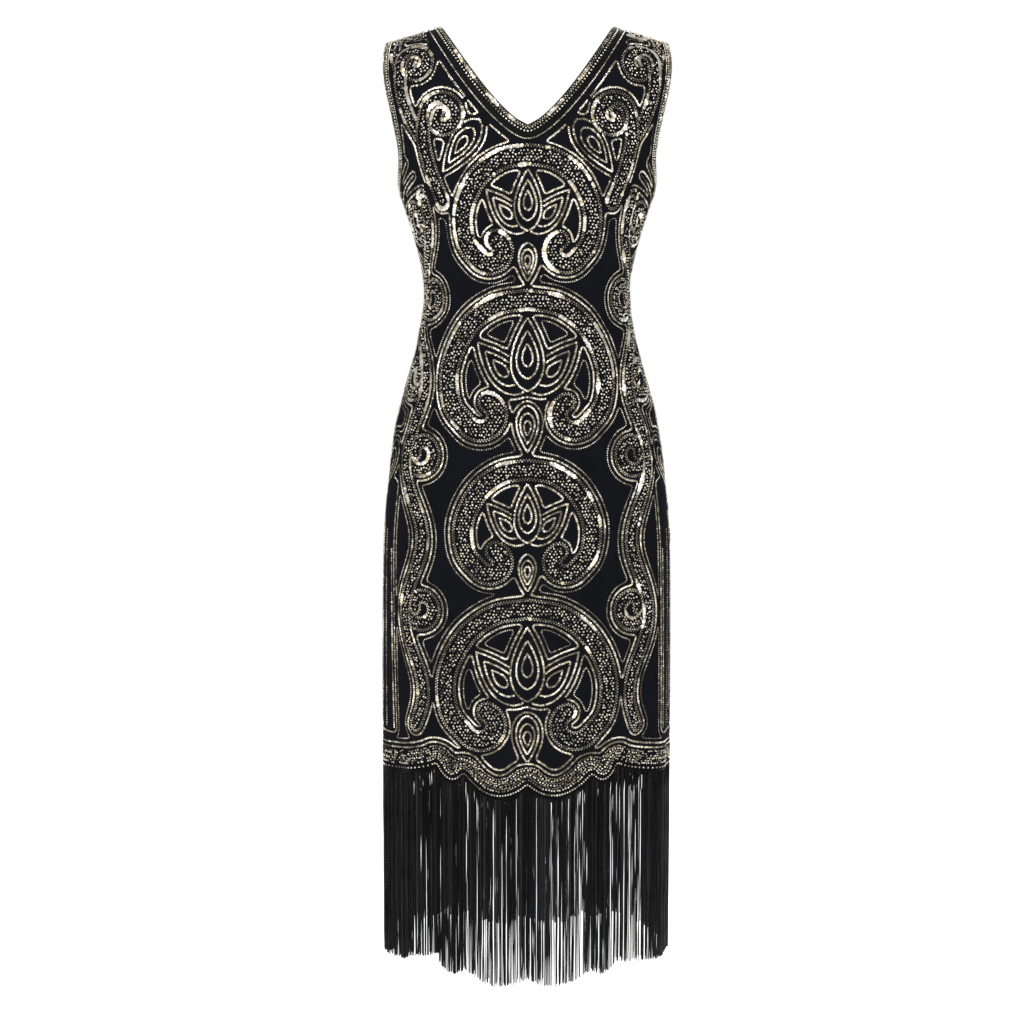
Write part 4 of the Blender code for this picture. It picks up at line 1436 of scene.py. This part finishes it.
def make_stage():
    block = bmesh.new()
    bmesh.ops.create_grid(block, x_segments=1, y_segments=1, size=FLOOR_SIZE)
    bmesh.ops.translate(block, verts=block.verts[:], vec=(0, 0, FLOOR_Z))
    made("floor", block, pale_floor())
    world = bpy.data.worlds.new("studio")
    world.use_nodes = True
    tree = world.node_tree
    # the sky is white to look at, and a dim room to the surfaces that it lights
    ray = add(tree, "ShaderNodeLightPath").outputs["Is Camera Ray"]
    strength = add(tree, "ShaderNodeMapRange", {"To Min": ROOM_LIGHT, "To Max": 1.0},
                   {"Value": ray})
    wire(tree, tree.nodes["Background"], {"Color": (1, 1, 1, 1)},
         {"Strength": strength.outputs["Result"]})
    bpy.context.scene.world = world
    for lamp in LAMPS:
        light = bpy.data.lights.new(lamp.name, "AREA")
        light.shape, light.size, light.energy = "DISK", lamp.size, lamp.power
        turn = (AIM - Vector(lamp.place)).to_track_quat("-Z", "Y").to_euler()
        placed_in_scene(light, lamp.place, turn)
    camera = bpy.data.cameras.new("camera")
    camera.lens, camera.sensor_width = LENS, SENSOR
    turn = (math.radians(90 - CAMERA_PITCH), 0, 0)
    bpy.context.scene.camera = placed_in_scene(camera, CAMERA_PLACE, turn)
    bpy.context.scene.view_settings.view_transform = "Standard"


# ---------------------------------------------------------------- operators

def dress(piece, slot, *nodes):
    """Hangs a finished piece on the dress's body and hides the solids it stands for. The slot is
    not used.
    """
    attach(piece, BODY)
    if nodes:
        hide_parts(*nodes)


def sew_on(name, *nodes, lift=0.0):
    """Makes a piece of beadwork and hangs it on the dress."""
    seed = BEAD_SEEDS[name.split("_", 1)[1]]
    dress(sewn_piece(name, needlework()[name], lift, seed), "silver_beading", *nodes)


class DRESS_OT_cloth(bpy.types.Operator):
    """Front and back panels of black net"""
    bl_idname = "dress.cloth"
    bl_label = "Front and back cloth"

    def execute(self, context):
        for side, behind in SIDES:
            dress(make_cloth(side, behind), "black_net", f"{side}_panel")
        return {"FINISHED"}


class DRESS_OT_beadwork(bpy.types.Operator):
    """Sequins and seed beads on the front and back"""
    bl_idname = "dress.beadwork"
    bl_label = "Beadwork on the panels"

    def execute(self, context):
        for side, _ in SIDES:
            for kind in ("spangles", "seed_beads", "echo_rows"):
                sew_on(f"{side}_{kind}")
        return {"FINISHED"}


class DRESS_OT_neck_bands(bpy.types.Operator):
    """Ribbon and rows of beads along the front and back V"""
    bl_idname = "dress.neck_bands"
    bl_label = "Neck bands"

    def execute(self, context):
        width = context.scene.dress_sizes.neck_band
        for side, behind in SIDES:
            line = whole(neck_edge(behind, NECK_TAPE_COLUMNS)[1:])
            tape = make_tape(f"{side}_neck_tape", line, width, NECK_TAPE, NECK_TAPE, behind,
                             satin_tape())
            dress(tape, "black_net")
            sew_on(f"{side}_neck_beading", f"{side}_neck_band", lift=NECK_TAPE)
        return {"FINISHED"}


class DRESS_OT_armhole_bands(bpy.types.Operator):
    """Rows of beads round both armholes"""
    bl_idname = "dress.armhole_bands"
    bl_label = "Armhole bands"

    def execute(self, context):
        for hand in ("left", "right"):
            sew_on(f"{hand}_armhole_beading", f"{hand}_armhole_band")
        return {"FINISHED"}


class DRESS_OT_hem_bands(bpy.types.Operator):
    """Dense beading along the scallops"""
    bl_idname = "dress.hem_bands"
    bl_label = "Hem bands"

    def execute(self, context):
        for side, _ in SIDES:
            sew_on(f"{side}_hem_beading", f"{side}_hem_band")
        return {"FINISHED"}


class DRESS_OT_fringe(bpy.types.Operator):
    """Header tape and twisted strands under the hem"""
    bl_idname = "dress.fringe"
    bl_label = "Fringe"

    def execute(self, context):
        for seed, (side, behind) in enumerate(SIDES):
            line = whole(hem_edge(behind)[1:]) - (0, STRIP_GAP + STRIP_HEIGHT)
            width = STRIP_HEIGHT + STRIP_GAP + STRIP_TUCK
            tape = make_tape(f"{side}_fringe_tape", line, -width, -STRIP_SINK, STRIP_THICKNESS,
                             behind, satin_tape())
            dress(tape, "black_fringe")
            strands = make_fringe(f"{side}_fringe_strands", behind, FRINGE_SEED + seed)
            dress(strands, "black_fringe", f"{side}_fringe")
        return {"FINISHED"}


class DRESS_OT_cut(bpy.types.Operator):
    """Gathers each panel's outline and the pieces sewn on it, and does nothing more with them"""
    bl_idname = "dress.cut"
    bl_label = "Cut of the cloth"

    def execute(self, context):
        for side, behind in SIDES:
            outline = panel_outline(behind)
            kinds = ("spangles", "seed_beads", "echo_rows", "neck_tape", "neck_beading",
                     "hem_beading", "fringe_tape", "fringe_strands")
            trims = [bpy.data.objects[f"{side}_{kind}"] for kind in kinds]
            if side == "front":
                trims += [bpy.data.objects[f"{hand}_armhole_beading"] for hand in ("left", "right")]
        return {"FINISHED"}


class DRESS_OT_stage(bpy.types.Operator):
    """Pale floor, soft lights and camera"""
    bl_idname = "dress.stage"
    bl_label = "Stage"

    def execute(self, context):
        make_stage()
        return {"FINISHED"}


def size_property(name, description, default, least, most):
    return bpy.props.FloatProperty(name=name, description=description, default=default, min=least,
                                   max=most, unit="LENGTH")


class DressSizes(bpy.types.PropertyGroup):
    """Sizes of the trims, read when their pieces are made"""
    neck_band: size_property(
        "Neck band", "Width of the ribbon and beading along the V", 0.0165, 0.008, 0.03)
    armhole_band: size_property(
        "Armhole band", "Width kept for the rows of beads round each armhole", 0.0115, 0.006, 0.02)
    bead_pitch: size_property(
        "Bead spacing", "Distance between the seed beads that fill the bands", 0.0040, 0.003, 0.01)
    strand_length: size_property(
        "Strand length", "Length of the fringe below its tape", 0.226, 0.05, 0.24)
    strand_width: size_property(
        "Strand width", "Thickness of one twisted strand of the fringe", 0.0012, 0.0005, 0.003)


def colour_property(name, description, code):
    return bpy.props.FloatVectorProperty(name=name, description=description, default=linear(code),
                                         size=4, min=0, max=1, subtype="COLOR")


class DressColours(bpy.types.PropertyGroup):
    """Colours of the cloth, beading and fringe, read when their materials are made"""
    net: colour_property("Net", "The knitted net and its lining", "#0d0e12")
    ribbon: colour_property("Ribbon", "Lit ribs of the satin tapes", "#0d0d0f")
    silver: colour_property("Silver", "The brightest beads and sequins", "#fefdfa")
    champagne: colour_property("Champagne", "Tint of the warmer beads and sequins", "#f3e4c2")
    cord: colour_property("Cord", "The lighter strands of the fringe", "#0c0c0d")


class DRESS_PT_panel(bpy.types.Panel):
    """Lists the dress's sizes, colours and pieces"""
    bl_label = "Flapper dress"
    bl_idname = "DRESS_PT_panel"
    bl_space_type = "VIEW_3D"
    bl_region_type = "UI"
    bl_category = "Dress"

    def draw(self, context):
        for group in (context.scene.dress_sizes, context.scene.dress_colours):
            for name in group.__annotations__:
                self.layout.prop(group, name)
        for operator in OPERATORS:
            self.layout.operator(operator.bl_idname)


OPERATORS = (DRESS_OT_cloth, DRESS_OT_beadwork, DRESS_OT_neck_bands, DRESS_OT_armhole_bands,
             DRESS_OT_hem_bands, DRESS_OT_fringe, DRESS_OT_cut, DRESS_OT_stage)
CLASSES = (DressSizes, DressColours, *OPERATORS, DRESS_PT_panel)


def register():
    for entry in CLASSES:
        bpy.utils.register_class(entry)
    bpy.types.Scene.dress_sizes = bpy.props.PointerProperty(type=DressSizes)
    bpy.types.Scene.dress_colours = bpy.props.PointerProperty(type=DressColours)


def unregister():
    del bpy.types.Scene.dress_sizes
    del bpy.types.Scene.dress_colours
    for entry in reversed(CLASSES):
        bpy.utils.unregister_class(entry)


def main():
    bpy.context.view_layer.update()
    register()
    bpy.ops.dress.stage()
    bpy.ops.dress.cloth()
    bpy.ops.dress.beadwork()
    bpy.ops.dress.neck_bands()
    bpy.ops.dress.armhole_bands()
    bpy.ops.dress.hem_bands()
    bpy.ops.dress.fringe()
    bpy.ops.dress.cut()


if __name__ == "__main__":
    main()
